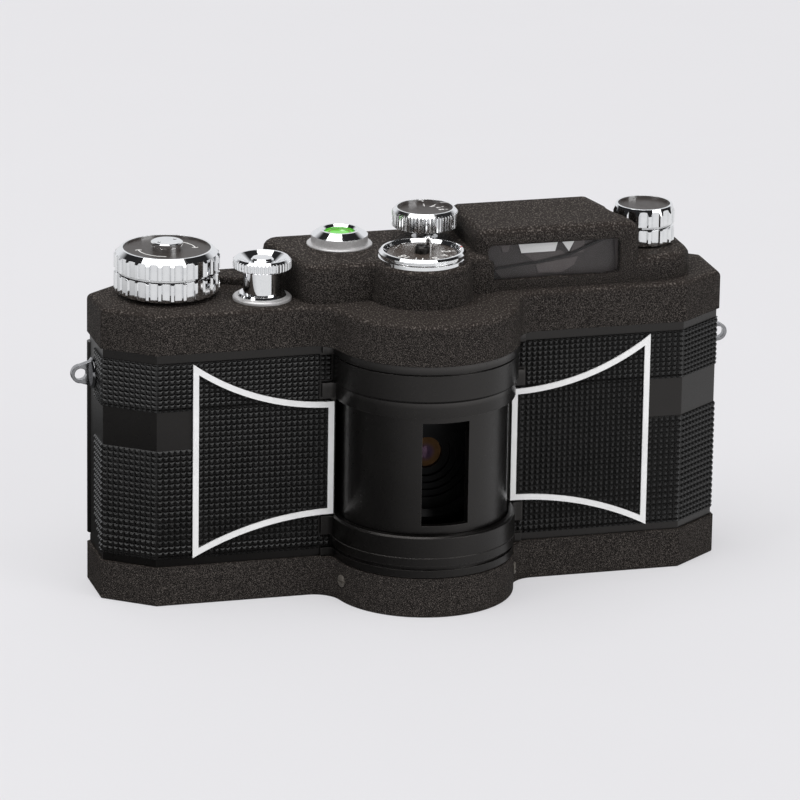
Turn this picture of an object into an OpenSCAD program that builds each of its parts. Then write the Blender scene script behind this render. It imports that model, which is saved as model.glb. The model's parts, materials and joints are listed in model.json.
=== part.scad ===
// Swing-lens panoramic camera for 35 mm film.
// The origin is on the drum axis in the base plane. +X is to the right seen from the front,
// the front faces -Y and +Z is up. Left and right are as seen from the front. Millimetres.

/* [Body] */
// Width over the end faces of the covers
body_w = 145; // [142:0.5:150]
// Depth from the flat front to the back
body_d = 30.9; // [30.5:0.1:33]
// Flat front behind the drum axis
front_set = 0.4; // [0:0.1:2]
// Corner chamfer along the width
chamfer_w = 10.9; // [9:0.1:12]
// Corner chamfer along the depth
chamfer_d = 8.5; // [7.5:0.1:9]
// Height of the base cover
base_h = 9.15; // [8.5:0.05:11]
// Height of the casting between the covers
casting_h = 49.75; // [49:0.05:53]
// Height of the top cover up to the deck
cover_h = 9.1; // [8.5:0.1:11]
// Wall of the two covers
cover_wall = 1.5; // [1:0.1:1.8]
// Rounding of the top cover's outer edge
edge_r = 1.5; // [0.8:0.1:1.5]
// Rounding of the base cover's lower edge
base_edge_r = 0.5; // [0.3:0.1:1.5]
// Radius of the top cover's round bulge about the drum
bulge_r = 21.5; // [21.3:0.1:22.5]
// Radius of the base cover's round bulge about the drum
base_bulge_r = 21; // [20.9:0.1:22]
// Blend from the flat front into the bulge
blend_r = 6; // [3:0.5:8]
// Wall of the casting
casting_wall = 1.9; // [1.5:0.1:2.1]
// Set-back of the casting behind the covers
casting_set = 0.6; // [0.5:0.05:0.8]
// Bare strip of the casting above the base cover
low_strip = 1.75; // [1:0.05:2]
// Bare strip of the casting below the top cover
top_strip = 2.1; // [1.2:0.1:2.2]

/* [Covering and trim] */
// Thickness of the grained covering
skin_t = 0.5; // [0.3:0.05:0.5]
// Inner edge of a front panel from the middle
panel_in = 20.8; // [20.6:0.1:23]
// Reach of the covering onto an end face, from the front plane
skin_reach = 16.5; // [12:0.5:19]
// Lower edge of the bare band that runs round each corner, over the casting's foot
band_rise = 27.35; // [20:0.05:32]
// Height of that bare band
band_h = 9; // [5:0.5:12]
// Outer edge of the white trim frame from the end face
trim_set = 19.2; // [15:0.1:26]
// Width of the trim's bars
trim_w = 1.3; // [0.8:0.1:2]
// Thickness of the trim
trim_t = 0.4; // [0.2:0.05:0.6]
// Ends of the trim's outer bar over the casting's foot and below its top
trim_tall_set = [1.95, 2.4]; // [1.8:0.05:5]
// Ends of the trim's inner bar over the casting's foot and below its top
trim_short_set = [10.05, 13.25]; // [6:0.05:16]

/* [Drum] */
// Radius of the lens drum
drum_r = 19.1; // [18.6:0.05:19.3]
// Wall of the drum
drum_wall = 1.6; // [1.2:0.1:2]
// Running gap between the drum and what stands around it
drum_gap = 0.35; // [0.3:0.05:0.5]
// Half angle of the drum's front window
window_half = 16.5; // [10:0.5:20]
// Height of the window, the slit and the film frame
window_h = 24; // [20:0.5:25]
// Height of the lens axis over the casting's foot
lens_rise = 23.9; // [23:0.1:25]
// Radius of the drum's shafts
drum_shaft_r = 3; // [2:0.1:3.5]
// Half of the drum's swing
swing_half = 70; // [60:1:70]
// Radius of the curved film
film_r = 26.4; // [26:0.1:26.8]
// Half angle of the film frame
frame_half = 64; // [50:1:64]
// Thickness of the film gate
gate_t = 1.5; // [1.2:0.1:1.8]
// Clear width of the scanning slit
slit_w = 1.8; // [1:0.1:2.4]
// Radius of the lens barrel
barrel_r = 10.4; // [9:0.1:11]
// Radius of the lens elements
glass_r = 3.6; // [2.5:0.1:5]

/* [Front rings] */
// Thickness of the ring bands around the drum
ring_t = 1.7; // [1.4:0.1:1.9]
// Height of the lower ring
low_ring_h = 9.9; // [8:0.1:10.5]
// Height of the upper ring
top_ring_h = 12.25; // [10:0.05:12.4]
// Height of the upper ring's plain band
ring_band_h = 8.35; // [6:0.05:9.5]
// Outer end of the rings' flat ears from the middle
ear_out = 23.6; // [23:0.1:25]
// Thickness of the ears on the front of the casting
ear_t = 0.8; // [0.6:0.1:1.2]

/* [Top deck] */
// Height of the dial platform over the deck
platform_h = 8.6; // [7:0.1:9.5]
// Height of the viewfinder hump over the deck
hump_h = 14; // [12.5:0.1:16]
// Height of the rewind boss over the deck
boss_h = 5.7; // [4.5:0.1:7]
// Height of the step pad beside the advance knob
pad_h = 1.6; // [1:0.1:2]
// Front of the hump, platform and boss behind the front plane
tier_set = 3.2; // [2.8:0.1:4]
// Left and right side of the viewfinder hump
hump_x = [13, 52]; // [10:0.1:56]
// Radius of the round boss under the front dial
dial_boss_r = 11.2; // [10.5:0.1:12]
// Width and height of the viewfinder window
finder_window = [31.2, 8.3]; // [6:0.1:32]
// Centre of the viewfinder window from the middle and over the deck
finder_at = [31.1, 6.45]; // [5:0.05:36]
// Width and height of the eyepiece opening
eyepiece = [12, 6]; // [4:0.1:14]

/* [Knobs] */
// Advance knob centre from the left end face and behind the flat front
advance_at = [17.3, 17.8]; // [16:0.1:20]
// Advance knob radius
advance_r = 11.9; // [10:0.1:13]
// Advance knob height
advance_h = 9.8; // [8:0.1:12]
// Ribs round the advance knob
advance_ribs = 26; // [20:1:32]
// Advance and take-up shaft radius
advance_shaft_r = 3; // [2.5:0.1:3.2]
// Rewind knob centre from the right end face and behind the flat front
rewind_at = [16.2, 16.5]; // [15:0.1:18]
// Rewind knob radius
rewind_r = 7.05; // [6:0.05:7.5]
// Rewind knob height
rewind_h = 8.7; // [6:0.1:10]
// Ribs round the rewind knob
rewind_ribs = 15; // [12:1:20]
// Rewind shaft radius
rewind_shaft_r = 2.5; // [2:0.1:2.8]
// Release button centre to the right of the advance knob and in front of it
release_off = [19.9, 8.5]; // [8:0.1:21]
// Release flange radius
release_r = 6.6; // [6:0.1:7]
// Height of the release over the deck
release_h = 9.7; // [8:0.1:11]
// Flutes round the release head
release_flutes = 46; // [30:1:60]
// Radius of the pressed button
button_r = 2.6; // [2.2:0.1:2.8]
// Travel of the release button
button_travel = 2; // [1:0.1:2.2]

/* [Dials] */
// Front dial centre from the middle and behind the flat front
dial_at = [0, 3]; // [-3:0.1:5]
// Front dial bezel radius
dial_r = 9.9; // [8.5:0.1:10.4]
// Rear knob centre from the middle and behind the flat front
speed_at = [4.9, 18.5]; // [3:0.1:21]
// Rear knob radius
speed_r = 7.5; // [6.5:0.01:7.6]
// Height of the rear knob over the platform
speed_rise = 3.3; // [2.5:0.1:5]
// Thickness of the rear knob
speed_h = 4.4; // [2.5:0.1:5]
// Flutes round the rear knob
speed_flutes = 56; // [40:1:60]
// Spirit level centre left of the middle and behind the flat front
level_at = [14.8, 19.5]; // [13:0.1:22]
// Spirit level flange radius
level_r = 7.43; // [6.5:0.01:8]

/* [Film transport] */
// Teeth of the advance gear and of the sprocket gear
train_teeth = 34; // [28:2:40]
// Distance from the advance axis to the sprocket axis
train_pitch = 18.7; // [18.2:0.1:19.4]
// Radius of the take-up spool's flanges
spool_r = 10.5; // [8:0.1:10.8]
// Radius of the film sprocket's toothed rims
sprocket_r = 5.95; // [5.5:0.05:6.05]
// Radius of the film guide rollers
roller_r = 2.5; // [2:0.1:3]
// Teeth of the gear on the drum
drum_teeth = 60; // [56:1:64]
// Teeth of the governor pinion
pinion_teeth = 20; // [18:1:22]
// Module of the drum gear
drum_module = 0.4; // [0.36:0.01:0.42]

/* [Fixings] */
// Radius of the tripod thread, nominal quarter inch
tripod_r = 3.175; // [3.175:0.001:4.8]
// Depth of the tripod thread
tripod_depth = 6; // [4.5:0.1:7]
// Radius of the strap lug's hole
lug_hole_r = 1.35; // [1:0.05:1.6]
// Strap lugs below the casting's top
lug_drop = 8.3; // [6.5:0.1:10]
// Radius of the hinge pin
hinge_r = 0.75; // [0.5:0.05:0.9]
// Wall of the back door
door_wall = 1.3; // [1:0.1:1.4]
// Travel of the door latch
latch_travel = 4; // [2:0.5:5]
// Radius of the small screws
screw_r = 1; // [0.8:0.1:1.2]
// Angle of the base's two front screws from the front
front_screw_a = 74; // [65:1:78]
// Height of the base's two front screws
front_screw_z = 5.1; // [4:0.1:5.5]

/* [Hidden] */
$fn = 64;
// Facets of the rounded forms that are hulled
hull_fn = 32;
// Steps of a rounded edge
round_steps = 4;
// Overshoot of a cut
cut = 1;
// Gap of pieces that are fitted together
fit = 0.02;
// Radial gap of a running shaft
run = 0.05;
// Gap between pieces that move past each other
clear = 0.35;
// Paint and metal colours
crinkle = "#2b2826";
satin = "#141415";
black_disc = "#3a3634";
chrome = "#d9dadd";
steel = "#9a9da2";
brass = "#b59a55";
glass = "#5b6b78";
white = "#e9e9e6";
leather = "#1b1a19";

// Outline
half_w = body_w / 2;
front_y = front_set;
film_clear = 2;
back_y = max(front_y + body_d, film_r + film_clear + door_wall + casting_set);
door_y = back_y - chamfer_d;
chamfer_a = atan2(chamfer_d, chamfer_w);
// Heights
cast_z = base_h;
cover_z = base_h + casting_h;
deck_z = cover_z + cover_h;
platform_z = deck_z + platform_h;
boss_z = deck_z + boss_h;
hump_z = deck_z + hump_h;
floor_t = 2;
inner_low = cast_z + floor_t;
inner_top = cover_z - floor_t;
band_z = cast_z + band_rise;
lens_z = cast_z + lens_rise;
lug_z = cover_z - lug_drop;
finder_z = deck_z + finder_at[1];
trim_tall = [cast_z + trim_tall_set[0], cover_z - trim_tall_set[1]];
trim_short = [cast_z + trim_short_set[0], cover_z - trim_short_set[1]];
low_ring_top = cast_z + low_ring_h;
top_ring_low = cover_z - top_ring_h;
band_low = cover_z - ring_band_h;
door_low = cast_z + low_strip + clear;
door_top = cover_z - top_strip - clear;
spool_low = door_low + door_wall + clear;
spool_top = door_top - door_wall - clear;
gear_z = cover_z + 0.7;
gear_t = 2;
// Drum and what holds it
ring_in = drum_r + drum_gap;
ring_r = ring_in + ring_t;
bore_r = ring_r - 0.9;
gate_in = film_r - gate_t;
drum_low = cast_z + 3.5;
drum_top = cover_z - 2.9;
cup_floor = drum_low - clear;
cup_roof = drum_top + clear;
bush_r = drum_shaft_r + 1.5;
chute_t = 1.4;
chute_half = slit_w / 2 + chute_t;
sweep_half = swing_half + asin(chute_half / bore_r) + 1.2;
window_low = lens_z - window_h / 2;
window_top = lens_z + window_h / 2;
// Axes
advance_x = advance_at[0] - half_w;
advance_y = front_y + advance_at[1];
sprocket_x = advance_x + train_pitch;
rewind_x = half_w - rewind_at[0];
rewind_y = front_y + rewind_at[1];
release_x = advance_x + release_off[0];
release_y = advance_y - release_off[1];
dial_x = dial_at[0];
dial_y = front_y + dial_at[1];
speed_x = speed_at[0];
speed_y = front_y + speed_at[1];
level_x = -level_at[0];
level_y = front_y + level_at[1];
trim_out = half_w - trim_set;
roller_a = frame_half + 6;
roller_axis_r = film_r + roller_r + 1.1;
roller_x = roller_axis_r * sin(roller_a);
roller_y = roller_axis_r * cos(roller_a);
journal_r = 1.2;
hinge_x = half_w - 1.6;
hinge_y = door_y + 0.4;
barrel_hinge_r = hinge_r + 0.75;
drum_pitch_r = drum_module * drum_teeth / 2;
governor_dist = drum_module * (drum_teeth + pinion_teeth) / 2;
governor_a = 120;
governor_x = governor_dist * cos(governor_a);
governor_y = governor_dist * sin(governor_a);
pivot_r = 1;
lens_board_y = [-4, -2];
pressure = 20;
latch_z = lens_z + 0.6;
end_face = half_w - casting_set;
front_face = front_y + casting_set;

// Points along an arc
function arc(x, y, r, a0, a1, n = 8) =
    [for (i = [0:n]) [x + r * cos(a0 + (a1 - a0) * i / n), y + r * sin(a0 + (a1 - a0) * i / n)]];

// Eight-sided plan of the body, drawn in by d
function octagon(d) = let (
    x0 = half_w - chamfer_w - d * tan(chamfer_a / 2),
    x1 = half_w - d,
    y0 = front_y + d,
    y1 = front_y + chamfer_d + d * tan(45 - chamfer_a / 2),
    y2 = door_y - d * tan(45 - chamfer_a / 2),
    y3 = back_y - d
) [[-x0, y0], [x0, y0], [x1, y1], [x1, y2], [x0, y3], [-x0, y3], [-x1, y2], [-x1, y1]];

// Ribbed outline: crest and root are the shares of the pitch at the rib's top and foot
function ribbed(n, r, depth, crest, root) = [for (i = [0:n - 1])
    for (p = [[r - depth, -root], [r, -crest], [r, crest], [r - depth, root]])
        let (a = (i + p[1] / 2) * 360 / n) p[0] * [cos(a), sin(a)]];

// Involute gear outline with a shortened addendum and some backlash
function involute(a) = tan(a) * 180 / PI - a;
function gear_outline(teeth, module_mm) = let (
    rp = teeth * module_mm / 2,
    rb = rp * cos(pressure),
    tip = rp + 0.8 * module_mm,
    foot = rp - 1.1 * module_mm,
    half = 90 / teeth - 6 / rp * module_mm,
    flank = [for (s = [0:3]) max(rb, foot) + (tip - max(rb, foot)) * s / 3],
    left = concat([[foot, -1]], [for (r = flank) [r, -1]]),
    right = [for (s = [len(left) - 1:-1:0]) [left[s][0], 1]]
) [for (i = [0:teeth - 1]) for (p = concat(left, right))
    let (
        spread = half + involute(pressure) - involute(acos(min(1, rb / max(rb, p[0])))),
        a = i * 360 / teeth + p[1] * spread
    ) p[0] * [cos(a), sin(a)]];

// Ribbed prism with a bevel at its foot and its top, each given as [width, height]
module ribbed_blank(n, r, h, depth, shares, foot, top) {
    over = 0.4;
    intersection() {
        linear_extrude(h) polygon(ribbed(n, r, depth, shares[0], shares[1]));
        turned([[0, 0], [r - foot[0], 0], [r + over, foot[1] * (1 + over / foot[0])],
            [r + over, h - top[1] * (1 + over / top[0])], [r - top[0], h], [0, h]]);
    }
}

module tube(outer, inner, h) {
    difference() {
        cylinder(r = outer, h = h);
        translate([0, 0, -cut]) cylinder(r = inner, h = h + 2 * cut);
    }
}

module turned(profile) {
    rotate_extrude() polygon(profile);
}

// Solid of revolution about the lens axis; the profile's height points to the front
module turned_on_lens(profile) {
    translate([0, 0, lens_z]) rotate([90, 0, 0]) turned(profile);
}

// Sector of a revolved profile, half_a to each side of +Y
module sector(half_a, profile) {
    rotate([0, 0, 90 - half_a]) rotate_extrude(angle = 2 * half_a) polygon(profile);
}

function box_profile(r0, r1, z0, z1) = [[r0, z0], [r1, z0], [r1, z1], [r0, z1]];

module rounded_rect(w, h, r) {
    square([w - 2 * r, h], center = true);
    square([w, h - 2 * r], center = true);
    for (x = [-1, 1], y = [-1, 1])
        translate([x * (w / 2 - r), y * (h / 2 - r)]) circle(r);
}

// Both halves of what is symmetrical left and right
module both_sides() {
    children();
    mirror([1, 0, 0]) children();
}

// Body plan with its upper edge rounded
module rounded_body(z0, z1, r) {
    hull() {
        translate([0, 0, z0]) linear_extrude(z1 - r - z0) polygon(octagon(0));
        for (k = [1:round_steps]) let (a = 90 * k / round_steps)
            translate([0, 0, z0]) linear_extrude(z1 - r * (1 - sin(a)) - z0)
                polygon(octagon(r * (1 - cos(a))));
    }
}

// Round bulge of a cover with its upper edge rounded
module rounded_bulge(bulge, z0, z1, r) {
    turned(concat([[0, z0], [bulge, z0]], arc(bulge - r, z1 - r, r, 0, 90), [[0, z1]]));
}

// Concave blend between the flat front and the bulge, its upper edge rounded too
module bulge_blend(bulge, z0, z1, r) {
    y = front_y - blend_r;
    x = sqrt(pow(bulge + blend_r, 2) - y * y);
    deep = edge_r + cut;
    toward = [x, y] / (bulge + blend_r);
    difference() {
        translate([0, 0, z0]) linear_extrude(z1 - z0)
            polygon([[x, front_y], [x, front_y + deep], [bulge - deep - cut, front_y + deep],
                (bulge - deep) * toward, bulge * toward]);
        translate([x, y, 0])
            turned(concat([[0, z0 - cut], [blend_r, z0 - cut]],
                arc(blend_r + r, z1 - r, r, 180, 90), [[blend_r + r, z1 + cut], [0, z1 + cut]]));
    }
}

// Outer form of a cover, its rounded edge upward
module cover_form(bulge, z0, z1, r) {
    rounded_body(z0, z1, r);
    rounded_bulge(bulge, z0, z1, r);
    both_sides() bulge_blend(bulge, z0, z1, r);
}

// Hollow under a cover
module cover_hollow(bulge, z0, z1) {
    translate([0, 0, z0]) linear_extrude(z1 - z0) {
        polygon(octagon(cover_wall));
        circle(bulge - cover_wall);
    }
}

// Convex tier on the deck with rounded corners and a rounded upper edge
module tier(points, corner, z1, r) {
    hull() for (k = [0:round_steps]) let (a = 90 * k / round_steps)
        translate([0, 0, deck_z - cut]) linear_extrude(z1 - r * (1 - sin(a)) - deck_z + cut)
            offset(r = corner - r * (1 - cos(a)), $fn = hull_fn) offset(delta = -corner) polygon(points);
}

tier_y = front_y + tier_set;
tier_back = back_y - 1.4;
platform_gap = 1.8;
platform_left = release_x + release_r + platform_gap;
platform_splay = 4.7;
platform_right = hump_x[0] + 6;
platform_front = tier_y - 1.4;
platform_back = back_y - 1.2;
platform_plan = [[platform_left, platform_front], [platform_right, platform_front],
    [platform_right, platform_back], [platform_left - platform_splay, platform_back]];
hump_plan = [[hump_x[0], tier_y], [hump_x[1], tier_y], [hump_x[1] - 0.6, tier_y + 4.5],
    [hump_x[1] - 5.2, tier_back], [hump_x[0], tier_back]];
scoop_r = rewind_r + 2;
tier_edge = 2;
hump_edge = 2.6;
dial_boss_edge = 1.2;
dial_boss_draft = 0.5;
boss_r = 9.7;
boss_edge = 2.2;
boss_left = hump_x[1] - 12;
pad_edge = 1;
pad_gap = 2.2;
pad_right = platform_left + tier_edge;
pad_back = back_y - edge_r;
pad_plan = [[pad_right, advance_y - 4.5], [pad_right, pad_back], [advance_x + advance_r, pad_back],
    [advance_x + advance_r, advance_y + 5.2]];

// Rounded boss under the rewind knob
module rewind_boss() {
    hull() for (k = [0:round_steps]) let (a = 90 * k / round_steps)
        translate([0, 0, deck_z - cut]) linear_extrude(boss_z - boss_edge * (1 - sin(a)) - deck_z + cut)
            for (x = [boss_left, rewind_x - 0.3], y = [tier_y + boss_r, tier_back - boss_r])
                translate([x, y]) circle(boss_r - boss_edge * (1 - cos(a)), $fn = hull_fn);
}

// Low step beside the advance knob
module step_pad() {
    difference() {
        tier(pad_plan, pad_edge, deck_z + pad_h, pad_edge);
        translate([advance_x, advance_y, deck_z])
            cylinder(r = advance_r + pad_gap, h = pad_h + cut);
    }
}

module top_cover() color(crinkle) {
    difference() {
        union() {
            cover_form(bulge_r, cover_z, deck_z, edge_r);
            step_pad();
            tier(platform_plan, 2 * tier_edge, platform_z, tier_edge);
            translate([dial_x, dial_y, 0])
                turned(concat([[0, deck_z - cut], [dial_boss_r + dial_boss_draft, deck_z - cut]],
                    arc(dial_boss_r - dial_boss_edge, platform_z - dial_boss_edge, dial_boss_edge, 0, 90),
                    [[0, platform_z]]));
            difference() {
                tier(hump_plan, hump_edge, hump_z, hump_edge);
                translate([rewind_x, rewind_y, boss_z]) cylinder(r = scoop_r, h = hump_h);
            }
            rewind_boss();
        }
        cover_hollow(bulge_r, cover_z - cut, deck_z - cover_wall);
        // Hollows of the platform, the hump and the rewind boss
        translate([platform_left + tier_edge, tier_y + cut, cover_z])
            cube([hump_x[0] - platform_left - tier_edge - cut, tier_back - tier_y - 2 * tier_edge,
                platform_z - cover_wall - cover_z]);
        translate([hump_x[0] + tier_edge, tier_y + cover_wall, cover_z])
            cube([boss_left - hump_x[0] + tier_edge, tier_back - tier_y - 2 * cover_wall,
                hump_z - cover_wall - cover_z]);
        translate([rewind_x, rewind_y, cover_z])
            cylinder(r = sleeve_r + tier_edge, h = boss_z - cover_wall - cover_z);
        // Openings
        finder_prism(tier_y - cut, finder_set + finder_t + 2 * cut, 0);
        translate([finder_at[0], tier_back - 2 * cover_wall, finder_z]) rotate([-90, 0, 0])
            linear_extrude(3 * cover_wall) rounded_rect(eyepiece[0], eyepiece[1], 1);
        for (h = [[advance_x, advance_y, advance_shaft_r + 2.5], [rewind_x, rewind_y, rewind_shaft_r + run],
                [release_x, release_y, button_r + 0.4 + fit], [dial_x, dial_y, spindle_r + run],
                [speed_x, speed_y, speed_post_r + run]])
            translate([h[0], h[1], cover_z]) cylinder(r = h[2], h = hump_h + cover_h + cut);
    }
}

module base_cover() color(crinkle) {
    difference() {
        union() {
            difference() {
                translate([0, 0, cast_z]) mirror([0, 0, 1]) cover_form(base_bulge_r, 0, base_h, base_edge_r);
                cover_hollow(base_bulge_r, cover_wall, cast_z + cut);
            }
            for (p = base_screw_at) translate([p[0], p[1], cut]) cylinder(r = 3.2, h = cast_z - cut);
            translate([sprocket_x, advance_y, cut]) cylinder(r = 6, h = 3.2 - cut);
        }
        translate([0, 0, -cut]) cylinder(r = tripod_out + fit, h = 2 * cover_wall + cut);
        for (p = base_screw_at) translate([p[0], p[1], -cut]) {
            cylinder(r = screw_r + run, h = base_h + 2 * cut);
            cylinder(r = 2 * screw_r + run, h = cut + 1.2);
        }
        translate([sprocket_x, advance_y, -cut]) cylinder(r = 3.5 + run, h = base_h);
        for (s = [-1, 1]) front_screw_place(s) cylinder(r = screw_r + run, h = 8, center = true);
    }
}

base_screw_at = [for (x = [-1, 1], y = [0, 1])
    y == 0 ? [x * (half_w - 11), front_y + 14] : [x * 26, back_y - 6.5]];

// Radial place of a front screw on the bulge of the base; +Z points outward
module front_screw_place(side) {
    rotate([0, 0, side * front_screw_a]) translate([0, -base_bulge_r, front_screw_z])
        rotate([90, 0, 0]) children();
}

module base_screws() color(steel) {
    for (p = base_screw_at) translate([p[0], p[1], 0.3]) difference() {
        union() {
            cylinder(r = 2 * screw_r, h = 0.9);
            cylinder(r = screw_r, h = cast_z + 1.4 - 0.3);
        }
        translate([0, 0, 0.1]) cube([5 * screw_r, 0.5, 0.7], center = true);
    }
    for (s = [-1, 1]) front_screw_place(s) difference() {
        union() {
            translate([0, 0, -4]) cylinder(r = screw_r, h = 4.1);
            turned([[0, 0.03], [1.4 * screw_r, 0.03], [1.4 * screw_r, 0.25], [screw_r, 0.5], [0, 0.5]]);
        }
        translate([0, 0, 0.45]) cube([4 * screw_r, 0.4, 0.5], center = true);
    }
}

module body_casting() color(satin) {
    difference() {
        translate([0, 0, cast_z]) linear_extrude(casting_h) polygon(octagon(casting_set));
        // Opening closed by the back door
        translate([-half_w, door_y, cast_z + low_strip])
            cube([body_w, body_d, casting_h - low_strip - top_strip]);
        // Film chambers on both sides of the drum housing
        difference() {
            translate([0, 0, inner_low]) linear_extrude(inner_top - inner_low)
                polygon(octagon(casting_set + casting_wall));
            translate([0, 0, cast_z]) cylinder(r = gate_in, h = casting_h);
        }
        translate([0, 0, cast_z - cut]) cylinder(r = bore_r + fit, h = casting_h + 2 * cut);
        // Sweep of the slit behind the drum
        sector(sweep_half, box_profile(1, gate_in + cut,
            window_low - chute_t - 2 * clear, window_top + chute_t + 2 * clear));
        // Bearings of shafts and rollers
        for (h = [[advance_x, advance_y, advance_shaft_r], [sprocket_x, advance_y, sprocket_shaft_r],
                [roller_x, roller_y, journal_r], [-roller_x, roller_y, journal_r]])
            translate([h[0], h[1], cast_z - cut]) cylinder(r = h[2] + run, h = casting_h + 2 * cut);
        translate([rewind_x, rewind_y, inner_top - cut])
            cylinder(r = rewind_shaft_r + run, h = floor_t + 2 * cut);
        for (p = base_screw_at) translate([p[0], p[1], cast_z - cut])
            cylinder(r = screw_r + run, h = cut + floor_t - 2 * fit);
        // Hinge
        translate([-hinge_x, hinge_y, cast_z - cut]) cylinder(r = hinge_r + fit, h = casting_h + 2 * cut);
        translate([-hinge_x, hinge_y, cast_z + low_strip])
            cylinder(r = barrel_hinge_r + clear, h = casting_h - low_strip - top_strip);
        // Slot of the door latch
        translate([end_face - casting_wall - cut, latch_y, latch_z - latch_neck[1] / 2 - clear])
            translate([0, -latch_neck[0] / 2 - clear, 0]) cube([casting_wall + 2 * cut,
                latch_neck[0] + 2 * clear, latch_neck[1] + 2 * clear + latch_travel]);
    }
}

// Concave blend from a ring into its ears
ear_blend = 1.5;

// Flat ears of a ring of radius r on the front of the casting
module ring_ears(r, z0, z1) {
    face = front_face - fit;
    y = face - ear_t - ear_blend;
    x = sqrt(pow(r + ear_blend - fit, 2) - y * y);
    toward = [x, y] / (r + ear_blend);
    deep = r - ring_in - cut / 2;
    both_sides() translate([0, 0, z0]) linear_extrude(z1 - z0) difference() {
        polygon([[ear_out, face - ear_t], [ear_out, face], [r - deep, face], (r - deep) * toward, r * toward,
            [x, face - ear_t]]);
        translate([x, y]) circle(ear_blend);
    }
}

// Fixed band in front of the drum that is seated in the bore of the casting
module front_ring(front_profile, z0, z1, floor_low, floor_top) {
    intersection() {
        turned(front_profile);
        translate([-half_w, -half_w, z0]) cube([body_w, half_w + front_face - fit, z1 - z0]);
    }
    difference() {
        translate([0, 0, z0]) cylinder(r = bore_r, h = z1 - z0);
        translate([0, 0, z0 - cut]) cylinder(r = ring_in, h = floor_low - z0 + cut);
        translate([0, 0, floor_top]) cylinder(r = ring_in, h = z1 - floor_top + cut);
    }
}

lip_h = 1.8;
lip_groove = 0.45;
lip_r = bulge_r - 0.15;
low_lip_r = base_bulge_r - 0.15;
neck_r = ring_r - 0.55;

module upper_front_ring() color(satin) {
    profile = [[0, cover_z], [lip_r, cover_z], [lip_r, cover_z - lip_h], [neck_r, cover_z - lip_h],
        [neck_r, cover_z - lip_h - lip_groove], [ring_r, cover_z - lip_h - lip_groove],
        [ring_r, band_low], [neck_r, band_low], [neck_r, top_ring_low],
        [ring_in, top_ring_low], [ring_in, cup_roof], [0, cup_roof]];
    difference() {
        union() {
            front_ring(profile, top_ring_low, cover_z, cup_roof, cover_z);
            ring_ears(neck_r, top_ring_low, band_low - 0.4);
            ring_ears(ring_r, cover_z - lip_h, cover_z);
        }
        translate([0, 0, cup_roof - cut]) cylinder(r = bush_r + fit, h = casting_h);
        translate([governor_x, governor_y, cover_z - 1.6]) cylinder(r = pivot_r + run, h = 1.6 + cut);
    }
}

module lower_front_ring() color(satin) {
    groove_z = cast_z + lip_h + 0.2;
    groove_h = 1;
    step_z = cast_z + 4.9;
    profile = [[0, cast_z], [low_lip_r - 0.3, cast_z], [low_lip_r - 0.3, cast_z + 0.3],
        [low_lip_r, cast_z + 0.3], [low_lip_r, groove_z], [bore_r, groove_z],
        [bore_r, groove_z + groove_h], [ring_r, groove_z + groove_h], [ring_r, step_z],
        [ring_r - 0.15, step_z], [ring_r - 0.15, low_ring_top - 0.4], [ring_r - 0.5, low_ring_top],
        [ring_in, low_ring_top], [ring_in, cup_floor], [0, cup_floor]];
    difference() {
        union() {
            front_ring(profile, cast_z, low_ring_top, cast_z, cup_floor);
            ring_ears(low_lip_r, cast_z, groove_z);
            ring_ears(ring_r - 0.15, step_z + 0.4, low_ring_top - 0.4);
            // Lugs that take the two front screws of the base
            for (s = [-1, 1]) rotate([0, 0, s * front_screw_a])
                translate([-2.5, cover_wall + clear - base_bulge_r, front_screw_z - 2.2])
                    cube([5, 3.5, cast_z - front_screw_z + 2.2 + fit]);
        }
        translate([0, 0, cast_z - cut]) cylinder(r = bush_r + fit, h = casting_h);
        for (s = [-1, 1]) front_screw_place(s) cylinder(r = screw_r + run, h = 12, center = true);
    }
}

module drum_lower_bearing() color(brass) {
    translate([0, 0, cast_z]) tube(bush_r, drum_shaft_r + run, cup_floor - cast_z);
}

module drum_upper_bearing() color(brass) {
    translate([0, 0, cup_roof]) tube(bush_r, drum_shaft_r + run, cover_z - cup_roof);
}

// Width of the film, of the gate's rails and of its raised edges
film_w = 35;
rail_w = 2.8;
edge_t = 0.8;
edge_up = 0.35;
// Angle of the gate past the ends of the frame
gate_over = 10;

// Curved frame that the film lies on, with two raised rails
module film_gate() color(satin) {
    half_h = film_w / 2 + edge_t + 0.1;
    rail_half = window_h / 2 + rail_w;
    side = [[gate_in + fit, half_h], [film_r + edge_up, half_h], [film_r + edge_up, half_h - edge_t],
        [film_r - edge_up, half_h - edge_t], [film_r - edge_up, rail_half], [film_r, rail_half]];
    difference() {
        translate([0, 0, lens_z]) sector(frame_half + gate_over, concat(
            [for (p = side) [p[0], -p[1]]], [for (i = [len(side) - 1:-1:0]) side[i]]));
        sector(frame_half, box_profile(gate_in - cut, film_r + cut, window_low, window_top));
    }
}

// Flat plan of a trim frame, drawn in by d; the two long edges are arcs
module trim_plan(d) {
    span = trim_out - panel_in;
    rise_top = trim_tall[1] - trim_short[1];
    rise_low = trim_short[0] - trim_tall[0];
    top_r = (span * span + rise_top * rise_top) / (2 * rise_top);
    low_r = (span * span + rise_low * rise_low) / (2 * rise_low);
    difference() {
        translate([panel_in + d, trim_tall[0]]) square([span - 2 * d, trim_tall[1] - trim_tall[0]]);
        translate([panel_in, trim_short[1] + top_r]) circle(top_r + d, $fn = 180);
        translate([panel_in, trim_short[0] - low_r]) circle(low_r + d, $fn = 180);
    }
}

module trim_frame() color(white) {
    translate([0, front_face - skin_t, 0]) rotate([90, 0, 0]) linear_extrude(trim_t)
        difference() {
            trim_plan(0);
            trim_plan(trim_w);
        }
}

module trim_frame_left() mirror([1, 0, 0]) trim_frame();
module trim_frame_right() trim_frame();

// Gap between the covering and the rings' ears
ear_gap = 0.5;

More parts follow.
